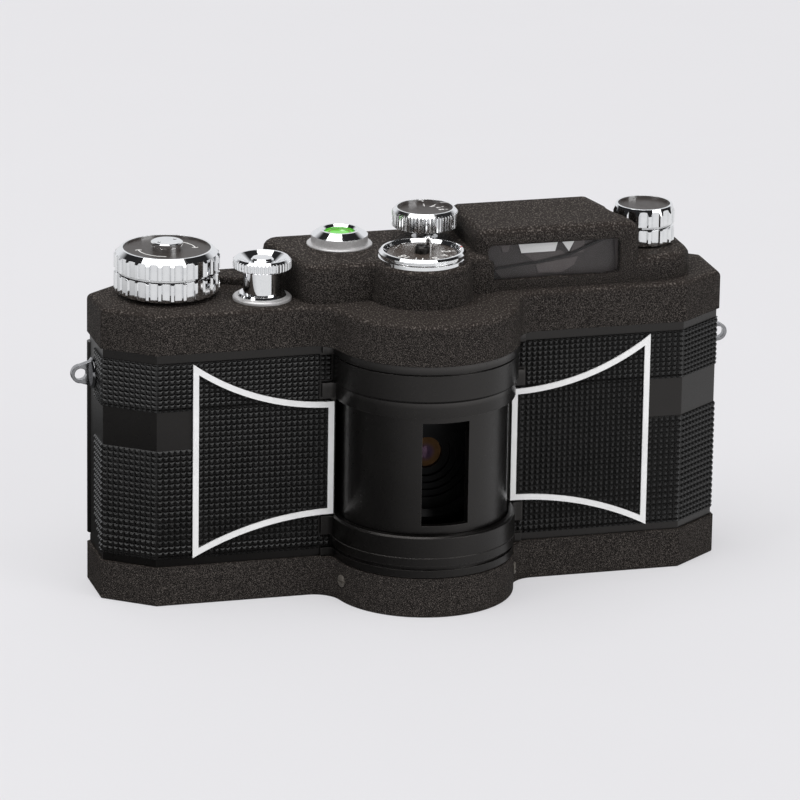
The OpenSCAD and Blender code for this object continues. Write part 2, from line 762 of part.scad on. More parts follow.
// Grained covering of one front panel, the corner and part of the end face
module covering() color(leather) {
    slope = 6;
    z0 = cast_z + low_strip;
    z1 = cover_z - top_strip;
    difference() {
        translate([0, 0, z0]) linear_extrude(z1 - z0) difference() {
            polygon(octagon(casting_set - skin_t));
            polygon(octagon(casting_set));
            translate([-half_w - cut, front_y - cut])
                square([half_w + cut + panel_in + fit, body_d + 2 * cut]);
            translate([0, front_y + skin_reach]) square([half_w + cut, body_d]);
        }
        // Clear of the two rings and of their ears
        for (z = [[z0 - cut, low_ring_top + clear], [top_ring_low - clear, z1 + cut]])
            translate([0, 0, z[0]]) cylinder(r = lip_r + fit, h = z[1] - z[0]);
        for (z = [[z0 - cut, cast_z + lip_h + ear_gap], [low_ring_top - ear_gap - 5, low_ring_top + ear_gap],
                [top_ring_low - ear_gap, band_low - ear_gap + 0.4], [cover_z - lip_h - ear_gap, z1 + cut]])
            translate([0, front_y - cut, z[0]]) cube([ear_out + ear_gap, 2 * cut + casting_set, z[1] - z[0]]);
        // Bare band round the corner
        translate([trim_out, front_y - cut, band_z]) cube([half_w, body_d, band_h]);
        // Round cut about the strap lug, and the sloping lower edge
        translate([end_face - cut, lug_y, lug_z]) rotate([0, 90, 0])
            cylinder(r = lug_flange_r + 0.4, h = 2 * cut + skin_t);
        translate([end_face - cut, 0, 0]) rotate([90, 0, 90]) linear_extrude(2 * cut + skin_t)
            polygon([[front_y + skin_reach - slope, z0 - cut], [front_y + skin_reach + cut, z0 - cut],
                [front_y + skin_reach + cut, z0 + slope + cut]]);
    }
}

module covering_left() mirror([1, 0, 0]) covering();
module covering_right() covering();

lug_y = front_y + 17.5;
lug_flange_r = 3.5;
lug_t = 1.5;
lug_out = end_face + 3.3;

// Strap lug: round flange on the end face and a drilled tab
module strap_lug() color(chrome) {
    tab_r = lug_hole_r + 0.75;
    translate([0, lug_y, lug_z]) {
        translate([end_face, 0, 0]) rotate([0, 90, 0])
            turned([[0, 0], [lug_flange_r, 0], [lug_flange_r, 0.6], [lug_flange_r - 0.5, 1], [0, 1]]);
        difference() {
            translate([0, lug_t / 2, 0]) rotate([90, 0, 0]) linear_extrude(lug_t) {
                translate([lug_out, 0]) circle(tab_r);
                polygon([[end_face + 0.5, -3], [lug_out, -tab_r], [lug_out, tab_r], [end_face + 0.5, 3]]);
            }
            translate([lug_out, lug_t, 0]) rotate([90, 0, 0]) cylinder(r = lug_hole_r, h = 2 * lug_t);
        }
    }
}

module strap_lug_left() mirror([1, 0, 0]) strap_lug();
module strap_lug_right() strap_lug();

tripod_out = tripod_r + 2.6;

// Threaded bush of the tripod socket, with a flange above the floor of the base
module tripod_bush() color(steel) {
    difference() {
        union() {
            cylinder(r = tripod_out, h = tripod_depth + 1.2);
            translate([0, 0, cover_wall]) cylinder(r = tripod_out + 2, h = 1.5);
        }
        translate([0, 0, -cut]) cylinder(r = tripod_r, h = tripod_depth + cut);
    }
}

// Set-back and thickness of the viewfinder's front lens
finder_set = 0.5;
finder_t = 3;

// Prism of the viewfinder window through the front of the hump
module finder_prism(y, depth, d) {
    translate([finder_at[0], y, finder_z]) rotate([-90, 0, 0]) linear_extrude(depth)
        rounded_rect(finder_window[0] - 2 * d, finder_window[1] - 2 * d, 1.2);
}

// Hollow-ground front lens of the viewfinder
module viewfinder_front_lens() color(glass) {
    curve = 60;
    difference() {
        finder_prism(tier_y + finder_set, finder_t, fit);
        translate([finder_at[0], tier_y + 1.7 - curve, finder_z - finder_window[1]])
            cylinder(r = curve, h = 2 * finder_window[1], $fn = 180);
    }
}

module viewfinder_rear_lens() color(glass) {
    translate([finder_at[0], tier_back - 1.8, finder_z]) rotate([-90, 0, 0])
        linear_extrude(2) rounded_rect(eyepiece[0] - 2 * fit, eyepiece[1] - 2 * fit, 1);
}

module eyepiece_frame() color(satin) {
    translate([finder_at[0], tier_back, finder_z]) rotate([-90, 0, 0]) linear_extrude(1.2)
        difference() {
            rounded_rect(eyepiece[0] + 4, eyepiece[1] + 3.4, 2);
            rounded_rect(eyepiece[0], eyepiece[1], 1);
        }
}

vial_r = level_r - 3.68;

module level_bezel() color(chrome) {
    body_r = level_r - 0.98;
    translate([level_x, level_y, platform_z])
        turned([[vial_r + fit, 0], [level_r, 0], [level_r, 0.2], [level_r - 0.2, 0.4], [body_r, 0.4],
            [body_r, 2.3], [vial_r + 0.9, 3.5], [vial_r + 0.3, 3.5], [vial_r - 0.3, 2.9],
            [vial_r + fit, 2.9]]);
}

module level_vial() color("#58b53a") {
    translate([level_x, level_y, platform_z])
        turned(concat([[0, 0], [vial_r, 0], [vial_r, 2.3]], [[vial_r - 0.6, 2.65], [0, 2.75]]));
}

stem_r = 1.2;
release_top = deck_z + release_h;
head_h = 2.5;
head_low = release_top - head_h;
post_r = button_r + 1.73;

// Flange, post and fluted cup round the release button
module release_collar() color(chrome) {
    translate([release_x, release_y, 0]) difference() {
        union() {
            turned([[0, deck_z - cover_wall], [button_r + 0.4, deck_z - cover_wall], [button_r + 0.4, deck_z],
                [release_r, deck_z], [release_r, deck_z + 0.5], [release_r - 0.3, deck_z + 0.8],
                [post_r + 1.2, deck_z + 0.8], [post_r + 0.8, deck_z + 1.5], [post_r, deck_z + 1.5],
                [post_r, head_low + fit], [0, head_low + fit]]);
            translate([0, 0, head_low])
                ribbed_blank(release_flutes, release_r, head_h, 0.28, [0.35, 0.8], [0.35, 0.3], [0.7, 0.6]);
        }
        turned([[0, release_top - 1.6], [button_r + 0.7, release_top - 1.6], [release_r - 1.15, release_top],
            [release_r - 1.15, release_top + cut], [0, release_top + cut]]);
        translate([0, 0, release_top - 7]) cylinder(r = button_r + run, h = 7);
        translate([0, 0, deck_z - 2 * cover_wall]) cylinder(r = stem_r + run, h = release_h);
    }
}

module release_button() color(chrome) {
    translate([release_x, release_y, 0])
        turned([[0, gear_z + gear_t + button_travel + clear],
            [stem_r, gear_z + gear_t + button_travel + clear],
            [stem_r, release_top - 4.6], [button_r, release_top - 4.6], [button_r, release_top - 0.5],
            [button_r - 0.4, release_top - 0.15], [0, release_top]]);
}

disc_r = dial_r - 2;
spindle_r = 1.5;
disc_low = platform_z + 0.4;
disc_top = platform_z + 1.6;

// Fixed two-step bezel round the front dial
module dial_bezel() color(chrome) {
    translate([dial_x, dial_y, platform_z])
        turned([[disc_r + 0.12, 0], [dial_r, 0], [dial_r, 0.9], [dial_r - 0.35, 1.1], [dial_r - 0.35, 1.4],
            [dial_r - 0.1, 1.5], [dial_r - 0.1, 1.9], [dial_r - 0.6, 2.4], [disc_r + 0.9, 2.4],
            [disc_r + 0.12, 1.7]]);
}

module aperture_disc() color(black_disc) {
    translate([dial_x, dial_y, 0])
        turned([[0, platform_z - 4], [spindle_r, platform_z - 4], [spindle_r, disc_low], [disc_r, disc_low],
            [disc_r, disc_top], [0, disc_top]]);
}

module aperture_pin() color(chrome) {
    translate([dial_x + 2.2, dial_y + 2.2, disc_top])
        turned([[0, 0], [0.85, 0], [0.85, 2.2], [1, 2.3], [1, 2.9], [0.7, 3.1], [0, 3.1]]);
}

module aperture_screw() color(steel) {
    translate([dial_x, dial_y, disc_top]) difference() {
        turned([[0, 0], [1.7, 0], [1.7, 1.3], [1.4, 1.65], [0, 1.65]]);
        translate([0, 0, 1.6]) cube([4, 0.5, 0.8], center = true);
    }
}

speed_post_r = 2;
speed_low = platform_z + speed_rise;
speed_top = speed_low + speed_h;
speed_sink = 1.3;

module speed_knob() color(chrome) {
    translate([speed_x, speed_y, 0]) difference() {
        translate([0, 0, speed_low])
            ribbed_blank(speed_flutes, speed_r, speed_h, 0.25, [0.4, 0.8], [0.4, 0.3], [0.8, 0.9]);
        translate([0, 0, speed_low - cut]) cylinder(r = speed_post_r + fit, h = speed_h + 2 * cut);
        translate([0, 0, speed_top - speed_sink]) cylinder(r = speed_r - 1.2, h = 2);
    }
}

module speed_knob_disc() color(black_disc) {
    translate([speed_x, speed_y, speed_top - speed_sink]) cylinder(r = speed_r - 1.2 - fit, h = 0.5);
}

module speed_post() color(steel) {
    translate([speed_x, speed_y, 0])
        turned([[0, platform_z - 4], [speed_post_r, platform_z - 4], [speed_post_r, platform_z + 0.3],
            [speed_post_r + 1, platform_z + 0.3], [speed_post_r + 1, platform_z + 0.9],
            [speed_post_r, platform_z + 0.9], [speed_post_r, speed_top - speed_sink],
            [0, speed_top - speed_sink]]);
}

// Knob with two rows of ribs, a groove between them and a bevelled top with a sunk face
module two_row_knob(ribs, r, h, depth, face_r, sink, bore, bore_h) {
    deep = 0.8;
    difference() {
        ribbed_blank(ribs, r, h, depth, [0.24, 0.42], [0.5, 0.4], [r - face_r - 0.5, 1.5]);
        translate([0, 0, h / 2])
            turned([[r - deep, -0.35], [r + cut, -0.35 - (deep + cut) / 2], [r + cut, 0.1 + (deep + cut) / 5],
                [r - deep, 0.1]]);
        translate([0, 0, h - sink]) cylinder(r = face_r, h = sink + cut);
        translate([0, 0, -cut]) cylinder(r = bore, h = bore_h + cut);
    }
}

advance_low = deck_z + 1;
advance_face = advance_r - 2.05;
advance_sink = 0.95;

module advance_knob() color(chrome) {
    translate([advance_x, advance_y, advance_low])
        two_row_knob(advance_ribs, advance_r, advance_h, 0.45, advance_face, advance_sink,
            advance_shaft_r + fit, advance_h - 2);
}

module advance_knob_disc() color(black_disc) {
    translate([advance_x, advance_y, advance_low + advance_h - advance_sink])
        cylinder(r = advance_face - fit, h = 0.5);
}

// Two-tier stud with two spanner holes
module advance_knob_stud() color(chrome) {
    translate([advance_x, advance_y, advance_low + advance_h - advance_sink + 0.5]) difference() {
        turned([[0, 0], [3.45, 0], [3.45, 0.85], [3.3, 0.95], [3.6, 1.05], [3.6, 1.7], [3.3, 1.9], [0, 1.9]]);
        for (s = [-1, 1]) translate([s * 2, s * 0.8, 1.2]) cylinder(r = 0.4, h = cut);
    }
}

module advance_bush() color(brass) {
    translate([advance_x, advance_y, 0])
        turned([[advance_shaft_r + run, deck_z - cover_wall],
            [advance_shaft_r + 2.5 - fit, deck_z - cover_wall], [advance_shaft_r + 2.5 - fit, deck_z],
            [advance_r - 3.4, deck_z], [advance_r - 3.4, deck_z + 0.65],
            [advance_shaft_r + run, deck_z + 0.65]]);
}

module advance_shaft() color(steel) {
    low = cast_z + 0.4;
    translate([advance_x, advance_y, low])
        cylinder(r = advance_shaft_r, h = advance_low + advance_h - 2 - low);
}

// Take-up spool: slotted core between two flanges
module take_up_spool() color(satin) {
    core = advance_shaft_r + 2.6;
    translate([advance_x, advance_y, 0]) difference() {
        turned([[advance_shaft_r + fit, spool_low], [spool_r, spool_low], [spool_r, spool_low + 0.8],
            [core, spool_low + 1.4], [core, spool_top - 1.4], [spool_r, spool_top - 0.8],
            [spool_r, spool_top], [advance_shaft_r + fit, spool_top]]);
        translate([-0.6, advance_shaft_r + 0.6, lens_z - 15]) cube([1.2, core, 30]);
    }
}

train_module = train_pitch / train_teeth;

module advance_gear() color(brass) {
    translate([advance_x, advance_y, gear_z]) linear_extrude(gear_t) difference() {
        polygon(gear_outline(train_teeth, train_module));
        circle(advance_shaft_r + fit);
    }
}

sprocket_shaft_r = 2;

module sprocket_gear() color(brass) {
    translate([sprocket_x, advance_y, gear_z]) linear_extrude(gear_t) difference() {
        rotate(180 + 180 / train_teeth) polygon(gear_outline(train_teeth, train_module));
        circle(sprocket_shaft_r + fit);
    }
}

// Film sprocket with eight teeth on each rim
module film_sprocket() color(steel) {
    rim_t = 2.2;
    row = 14.1;
    waist = sprocket_r - 1.4;
    translate([sprocket_x, advance_y, 0]) {
        turned([[0, cast_z + 0.4], [sprocket_shaft_r, cast_z + 0.4], [sprocket_shaft_r, spool_low],
            [sprocket_r, spool_low], [sprocket_r, lens_z - row + rim_t], [waist, lens_z - row + rim_t + 0.8],
            [waist, lens_z + row - rim_t - 0.8], [sprocket_r, lens_z + row - rim_t], [sprocket_r, spool_top],
            [sprocket_shaft_r, spool_top], [sprocket_shaft_r, gear_z + gear_t + 0.5],
            [0, gear_z + gear_t + 0.5]]);
        for (i = [0:7], s = [-1, 1]) rotate([0, 0, i * 45]) translate([sprocket_r - cut, 0, lens_z + s * row])
            rotate([0, 90, 0]) cylinder(r1 = 1, r2 = 0.6, h = cut + 1.1);
    }
}

module guide_roller() color(steel) {
    low = inner_low + 0.4;
    high = inner_top - 0.4;
    turned([[0, cast_z + 0.5], [journal_r, cast_z + 0.5], [journal_r, low], [roller_r, low],
        [roller_r, low + 4], [roller_r - 0.3, low + 4.6], [roller_r - 0.3, high - 4.6], [roller_r, high - 4],
        [roller_r, high], [journal_r, high], [journal_r, cover_z - 0.5], [0, cover_z - 0.5]]);
}

module guide_roller_left() translate([-roller_x, roller_y, 0]) guide_roller();
module guide_roller_right() translate([roller_x, roller_y, 0]) guide_roller();

rewind_low = boss_z + 0.35;
rewind_face = rewind_r - 1.1;
rewind_sink = 1.1;

module rewind_knob() color(chrome) {
    translate([rewind_x, rewind_y, rewind_low])
        two_row_knob(rewind_ribs, rewind_r, rewind_h, 0.35, rewind_face, rewind_sink,
            rewind_shaft_r + fit, rewind_h - 2.5);
}

module rewind_knob_disc() color(black_disc) {
    translate([rewind_x, rewind_y, rewind_low + rewind_h - rewind_sink])
        cylinder(r = rewind_face - fit, h = 0.5);
}

sleeve_low = cover_z + 0.3;
sleeve_h = 3.4;
sleeve_r = rewind_shaft_r + 1.4;

// Rewind shaft with a collar over the sleeve and a forked lower end
module rewind_shaft() color(steel) {
    low = inner_top - 7;
    translate([rewind_x, rewind_y, 0]) difference() {
        union() {
            translate([0, 0, low]) cylinder(r = rewind_shaft_r, h = rewind_low + rewind_h - 2.5 - low);
            translate([0, 0, sleeve_low + sleeve_h + 0.05]) cylinder(r = rewind_shaft_r + 1, h = 0.8);
        }
        translate([-0.9, -rewind_shaft_r - cut, low - cut]) cube([1.8, 2 * rewind_shaft_r + 2 * cut, 5]);
    }
}

module rewind_sleeve() color(brass) {
    translate([rewind_x, rewind_y, sleeve_low]) tube(sleeve_r, rewind_shaft_r + run, sleeve_h);
}

// Drum: cup with the front window, the rear opening for the slit and a board for the lens
module drum_shell() color(satin) {
    inside = drum_r - drum_wall;
    high = drum_top - 1;
    difference() {
        union() {
            difference() {
                translate([0, 0, drum_low]) cylinder(r = drum_r, h = high - drum_low);
                translate([0, 0, drum_low + drum_wall]) cylinder(r = inside, h = casting_h);
            }
            intersection() {
                translate([0, 0, drum_low + cut])
                    cylinder(r = inside + cut / 2, h = high - drum_low - 2.6 - cut);
                translate([-drum_r, lens_board_y[0], drum_low])
                    cube([2 * drum_r, lens_board_y[1] - lens_board_y[0], casting_h]);
            }
            translate([0, 0, cast_z + 0.4]) cylinder(r = drum_shaft_r, h = drum_low - cast_z);
        }
        rotate([0, 0, 180])
            sector(window_half, box_profile(inside - 1.5, drum_r + cut, window_low, window_top));
        translate([0, 0, lens_z]) rotate([90, 0, 0]) cylinder(r = barrel_r + fit, h = drum_r, center = true);
        translate([-chute_half - fit, 5, window_low - chute_t - fit])
            cube([2 * (chute_half + fit), drum_r, window_h + 2 * (chute_t + fit)]);
    }
}

// Lid of the drum with the upper shaft
module drum_cap() color(satin) {
    turned([[0, drum_top - 2.5], [drum_r - drum_wall - fit, drum_top - 2.5],
        [drum_r - drum_wall - fit, drum_top - 1],
        [drum_r, drum_top - 1], [drum_r, drum_top], [drum_shaft_r, drum_top],
        [drum_shaft_r, deck_z - cover_wall - 1], [0, deck_z - cover_wall - 1]]);
}

plate_r = barrel_r + 4.6;
plate_f = 5.5;
funnel_steps = 4;
funnel_r = barrel_r - 0.9;
funnel_run = (funnel_r - glass_r - 0.4) / funnel_steps;
funnel_fall = 0.85;

// Lens barrel with a stepped funnel in front
module lens_barrel() color(satin) {
    turned_on_lens(concat([[glass_r + fit, -9], [barrel_r - 2, -9], [barrel_r - 2, -6.5], [barrel_r, -6],
        [barrel_r, plate_f], [plate_r, plate_f], [plate_r, plate_f + 1.3], [plate_r - 0.4, plate_f + 1.6],
        [plate_r - 1.2, plate_f + 1.6], [plate_r - 2.8, plate_f + 1], [plate_r - 2.8, plate_f + 0.7]],
        [for (k = [0:funnel_steps - 1], e = [0, 1])
            [funnel_r - k * funnel_run, plate_f + 0.6 - (k + e) * funnel_fall]],
        [[glass_r + fit, plate_f + 0.6 - funnel_steps * funnel_fall]]));
}

module front_lens() color(glass) {
    curve = 9;
    half = asin(glass_r / curve);
    turned_on_lens(concat([[0, -1.5], [glass_r, -1.5]], arc(0, 2.4 - curve, curve, 90 - half, 90)));
}

module rear_lens() color(glass) {
    curve = 14;
    half = asin(glass_r / curve);
    turned_on_lens(concat([[0, -5]], arc(0, curve - 8.6, curve, -90, -90 + half), [[glass_r, -5]]));
}

// Light-tight slit that scans the film
module slit_chute() color(satin) {
    reach = gate_in - 0.5;
    difference() {
        intersection() {
            translate([-chute_half, 10, window_low - chute_t])
                cube([2 * chute_half, drum_r, window_h + 2 * chute_t]);
            cylinder(r = reach, h = 2 * casting_h);
        }
        translate([-slit_w / 2, 0, window_low]) cube([slit_w, 2 * drum_r, window_h]);
    }
}

module iris_ring() color(steel) {
    difference() {
        turned_on_lens([[barrel_r + run, 4.12], [barrel_r + 2, 4.12], [barrel_r + 2, plate_f - 0.12],
            [barrel_r + run, plate_f - 0.12]]);
        translate([0, 0, lens_z]) rotate([90, 0, 0]) for (a = [0:30:330]) rotate([0, 0, a])
            translate([barrel_r + 2, 0, 0]) cylinder(r = 0.4, h = drum_r);
    }
}

module drum_gear() color(brass) {
    translate([0, 0, gear_z]) linear_extrude(gear_t) difference() {
        rotate(governor_a) polygon(gear_outline(drum_teeth, drum_module));
        circle(drum_shaft_r + fit);
        for (a = [0:72:288]) rotate(a + 36) translate([drum_pitch_r * 0.6, 0]) circle(2);
    }
}

// Governor pinion with its flywheel
module governor_wheel() color(brass) {
    wheel_z = gear_z + gear_t + 0.7;
    translate([governor_x, governor_y, 0]) {
        translate([0, 0, gear_z]) linear_extrude(gear_t)
            rotate(governor_a + 180 + 180 / pinion_teeth) polygon(gear_outline(pinion_teeth, drum_module));
        turned([[0, cover_z - 1.3], [pivot_r, cover_z - 1.3], [pivot_r, gear_z + gear_t], [2, gear_z + gear_t],
            [2, wheel_z], [5.6, wheel_z], [5.6, wheel_z + 1.2], [2, wheel_z + 1.2], [pivot_r, wheel_z + 1.6],
            [pivot_r, bridge_z + 1.2], [0, bridge_z + 1.2]]);
    }
}

bridge_z = deck_z - cover_wall - 2.2;
pillar_dist = drum_pitch_r + 4.5;
pillar_a = [40, 200];

// Bridge over the drum gear that holds the upper pivots
module governor_bridge() color(brass) {
    difference() {
        union() {
            translate([0, 0, bridge_z]) linear_extrude(1.5) {
                circle(6);
                for (a = concat(pillar_a, [governor_a])) rotate(a) {
                    translate([0, -3]) square([pillar_dist, 6]);
                    translate([pillar_dist, 0]) circle(3);
                }
            }
            for (a = pillar_a) rotate([0, 0, a]) translate([pillar_dist, 0, cover_z])
                cylinder(r = 2, h = bridge_z - cover_z + fit);
        }
        translate([0, 0, bridge_z - cut]) cylinder(r = drum_shaft_r + run, h = 2 + 2 * cut);
        translate([governor_x, governor_y, bridge_z - cut]) cylinder(r = pivot_r + run, h = 2 + 2 * cut);
    }
}

// Back door: shallow pan with a hinge barrel at its left end
module back_door() color(satin) {
    difference() {
        union() {
            difference() {
                translate([0, 0, door_low]) linear_extrude(door_top - door_low) difference() {
                    polygon(octagon(casting_set));
                    translate([-half_w, front_y - cut]) square([body_w, door_y - front_y + cut + 0.2]);
                }
                translate([0, 0, door_low + door_wall]) linear_extrude(door_top - door_low - 2 * door_wall)
                    polygon(octagon(casting_set + door_wall));
                translate([0, 0, cast_z]) cylinder(r = film_r + film_clear, h = casting_h);
            }
            translate([-hinge_x, hinge_y, door_low]) cylinder(r = barrel_hinge_r, h = door_top - door_low);
        }
        translate([-hinge_x, hinge_y, cast_z]) cylinder(r = hinge_r + run, h = casting_h);
    }
}

module hinge_pin() color(steel) {
    translate([-hinge_x, hinge_y, cast_z + 0.1]) cylinder(r = hinge_r, h = casting_h - 0.2);
}

module back_covering() color(leather) {
    margin = 1.4;
    translate([0, 0, door_low + margin]) linear_extrude(door_top - door_low - 2 * margin) difference() {
        polygon(octagon(casting_set - skin_t));
        polygon(octagon(casting_set));
        translate([-half_w, front_y - cut]) square([body_w, door_y - front_y + cut + 2.4]);
    }
}

latch_w = 5.2;
latch_h = 12;
latch_t = 1.5;
latch_neck = [1.6, 5.2];
latch_foot = [3.6, 8, 0.8];
latch_y = front_y + skin_reach + clear + latch_w / 2;

// Sliding latch on the right end face, guided in a slot of the casting
module door_latch() color(chrome) {
    inside = -casting_wall - clear;
    translate([end_face, latch_y, latch_z]) {
        difference() {
            translate([clear, -latch_w / 2, -latch_h / 2]) cube([latch_t, latch_w, latch_h]);
            for (k = [-3:3]) translate([clear + latch_t, 0, k * latch_h / 9]) rotate([90, 0, 0])
                cylinder(r = 0.35, h = 2 * latch_w, center = true);
        }
        translate([inside, -latch_neck[0] / 2, -latch_neck[1] / 2])
            cube([clear - inside + fit, latch_neck[0], latch_neck[1]]);
        translate([inside - latch_foot[2], -latch_foot[0] / 2, -latch_foot[1] / 2])
            cube([latch_foot[2] + fit, latch_foot[0], latch_foot[1]]);
    }
}

// Button in the base that frees the sprocket for rewinding
module rewind_release_button() color(chrome) {
    translate([sprocket_x, advance_y, 0])
        turned([[0, 0.3], [3.2, 0.3], [3.5, 0.6], [3.5, 3.2 + clear], [4.4, 3.2 + clear], [4.4, 3.9 + clear],
            [1.5, 3.9 + clear], [1.5, cast_z - 2.4], [0, cast_z - 2.4]]);
}

body_casting();
top_cover();
base_cover();
upper_front_ring();
lower_front_ring();
film_gate();
covering_left();
covering_right();
trim_frame_left();
trim_frame_right();
strap_lug_left();
strap_lug_right();
tripod_bush();
base_screws();
viewfinder_front_lens();
viewfinder_rear_lens();
eyepiece_frame();
level_bezel();
level_vial();
release_collar();
dial_bezel();
drum_upper_bearing();
drum_lower_bearing();
hinge_pin();
advance_bush();
governor_bridge();
drum_shell();
drum_cap();
lens_barrel();
front_lens();
rear_lens();
slit_chute();
drum_gear();
iris_ring();
governor_wheel();
advance_knob();
advance_knob_disc();
advance_knob_stud();
advance_shaft();
take_up_spool();
advance_gear();
film_sprocket();
sprocket_gear();
release_button();
aperture_disc();
aperture_pin();
aperture_screw();
speed_knob();
speed_knob_disc();
speed_post();
rewind_knob();
rewind_knob_disc();
rewind_shaft();
rewind_sleeve();
back_door();
back_covering();
door_latch();
guide_roller_left();
guide_roller_right();
rewind_release_button();
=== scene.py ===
"""Looks of the swing-lens panoramic camera: finishes, grained coverings, dial marks, light and view."""

import json
import math

import bmesh
import bpy
from mathutils import Matrix, Quaternion, Vector


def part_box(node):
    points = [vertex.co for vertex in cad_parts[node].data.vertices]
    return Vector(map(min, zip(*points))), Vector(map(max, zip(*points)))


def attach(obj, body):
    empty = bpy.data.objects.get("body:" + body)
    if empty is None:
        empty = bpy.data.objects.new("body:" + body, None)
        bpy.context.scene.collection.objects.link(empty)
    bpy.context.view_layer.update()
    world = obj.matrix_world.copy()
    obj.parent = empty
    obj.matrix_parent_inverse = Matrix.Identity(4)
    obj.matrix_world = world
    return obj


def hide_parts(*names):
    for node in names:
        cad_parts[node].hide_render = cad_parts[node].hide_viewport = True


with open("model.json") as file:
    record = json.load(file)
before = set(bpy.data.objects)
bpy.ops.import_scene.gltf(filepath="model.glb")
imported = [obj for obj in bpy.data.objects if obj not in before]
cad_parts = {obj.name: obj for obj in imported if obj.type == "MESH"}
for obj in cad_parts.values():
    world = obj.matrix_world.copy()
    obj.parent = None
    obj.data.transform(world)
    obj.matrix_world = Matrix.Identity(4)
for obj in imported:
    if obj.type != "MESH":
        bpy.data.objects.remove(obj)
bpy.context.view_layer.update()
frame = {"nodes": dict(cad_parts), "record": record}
nodes = frame["nodes"]
MM = 0.001

# View of the photograph: place, lens and tilt of the camera
VIEW_AZIMUTH = math.radians(-15.687)
VIEW_ELEVATION = math.radians(17.502)
VIEW_ROLL = math.radians(0.880)
VIEW_DISTANCE = 1.30608
VIEW_TARGET = Vector((-5.901, -1.1, 45.368)) * MM
VIEW_LENS = 261.7
VIEW_SENSOR = 36.0

# Body plan
CHAMFER_W = 10.9 * MM
CHAMFER_D = 8.5 * MM

# Grained covering
GRAIN_PITCH = 1.28 * MM
GRAIN_SHEET = 0.12 * MM
GRAIN_TOP = 0.34
BAND_LOW = 36.5 * MM
BAND_TOP = 45.5 * MM
LUG_CUT = 0.4 * MM
CORNER_SLOPE = 6.0 * MM
END_SLACK = 1.0 * MM
RING_GAP = 0.05 * MM
SKIN = 0.5 * MM

# Ears of the two front rings, as heights from the rings' lower or upper edge, and the covering's gap to them
EAR_GAP = 0.5 * MM
LIP_H = 1.9 * MM
LOW_EAR_H = 4.6 * MM
TOP_EAR_H = 3.5 * MM

# Plain band of the upper ring, down from its upper edge
RING_BAND_H = 8.35 * MM

# Painted light and shade inside the viewfinder: its tone and how far its shade spreads
FINDER_TONE = (1.0, 0.87, 0.86)
FINDER_SPREAD = (0.85, 1.15)

# Satin parts of the release and the level, over their lower ends
RELEASE_SATIN = 2.4 * MM
LEVEL_SATIN = 2.2 * MM

# Marks on the dials
MARK_LIFT = 0.04 * MM
MARK_W = 0.26 * MM
DIGIT_W = 0.55
DIGIT_GAP = 0.25
DIGIT_STROKES = {
    "1": [[(0.3, 0), (0.3, 1), (0.1, 0.8)]],
    "2": [[(0, 0.8), (0.15, 1), (0.4, 1), (0.55, 0.75), (0, 0), (0.55, 0)]],
    "4": [[(0.42, 0), (0.42, 1), (0, 0.3), (0.6, 0.3)]],
    "6": [[(0.5, 1), (0.15, 0.7), (0, 0.3), (0.12, 0), (0.45, 0), (0.55, 0.3), (0.42, 0.55), (0.05, 0.5)]],
    "8": [[(0.28, 0.54), (0.06, 0.78), (0.16, 1), (0.4, 1), (0.5, 0.78), (0.28, 0.54), (0, 0.27), (0.12, 0),
           (0.44, 0), (0.56, 0.27), (0.28, 0.54)]],
}
ARROW_R = 6.45 * MM
ARROW_BARB = 0.85 * MM
ARROW_STARTS = (76, 256)
ARROW_SWEEP = 82
BARB_TURN = 55
APERTURE_NUMBERS = (("2", -3), ("4", -38), ("8", -72), ("11", -112), ("16", -152))
APERTURE_NUMBER_R = 4.6 * MM
APERTURE_NUMBER_H = 1.8 * MM
APERTURE_TICK = (6.7 * MM, 7.5 * MM)
SPEED_NUMBERS = (("1", 78), ("2", 48), ("4", 22), ("8", -4))
SPEED_NUMBER_R = 3.3 * MM
SPEED_NUMBER_H = 1.0 * MM
SPEED_TICK = (4.7 * MM, 5.3 * MM)
INDEX_R = 9.05 * MM
INDEX_L = 0.4 * MM
INDEX_W = 0.6 * MM
LEVEL_RING_R = 2.4 * MM
LEVEL_RING_W = 0.2 * MM

# Studio
FLOOR_REACH = 4.0
FLOOR_GLOW = 0.60
FLOOR_PAPER = ((0.745, 0.738, 0.757), (0.885, 0.877, 0.90))
GLOW_AT = -0.15
GLOW_NEAR, GLOW_FAR = 0.05, 0.72
FLOOR_GLOSS = ((0.05, 0.05, 0.05), (0.75, 0.755, 0.765))
GLOSS_AT = -0.13
GLOSS_NEAR, GLOSS_FAR = 0.10, 0.22
DOME = (0.50, 0.50, 0.505)
ROOM_DARK = (0.02, 0.02, 0.021)
BACKDROP = (0.78, 0.79, 0.81)
ROOM_EDGE = (0.50, 0.75)
FLOOR_BASE = ((0.780, 0.777, 0.80), (0.790, 0.787, 0.81))

# Softboxes: place in the view's frame, size in metres and power in watts
SOFTBOXES = {
    "overhead_softbox": ((-0.12, -0.16, 0.95), (0.95, 0.70), 5.6),
    "right_softbox": ((1.05, -0.75, 0.40), (0.80, 0.80), 5.5),
    "left_softbox": ((-0.70, -0.58, 0.80), (0.30, 0.30), 1.6),
}


# Shader helpers

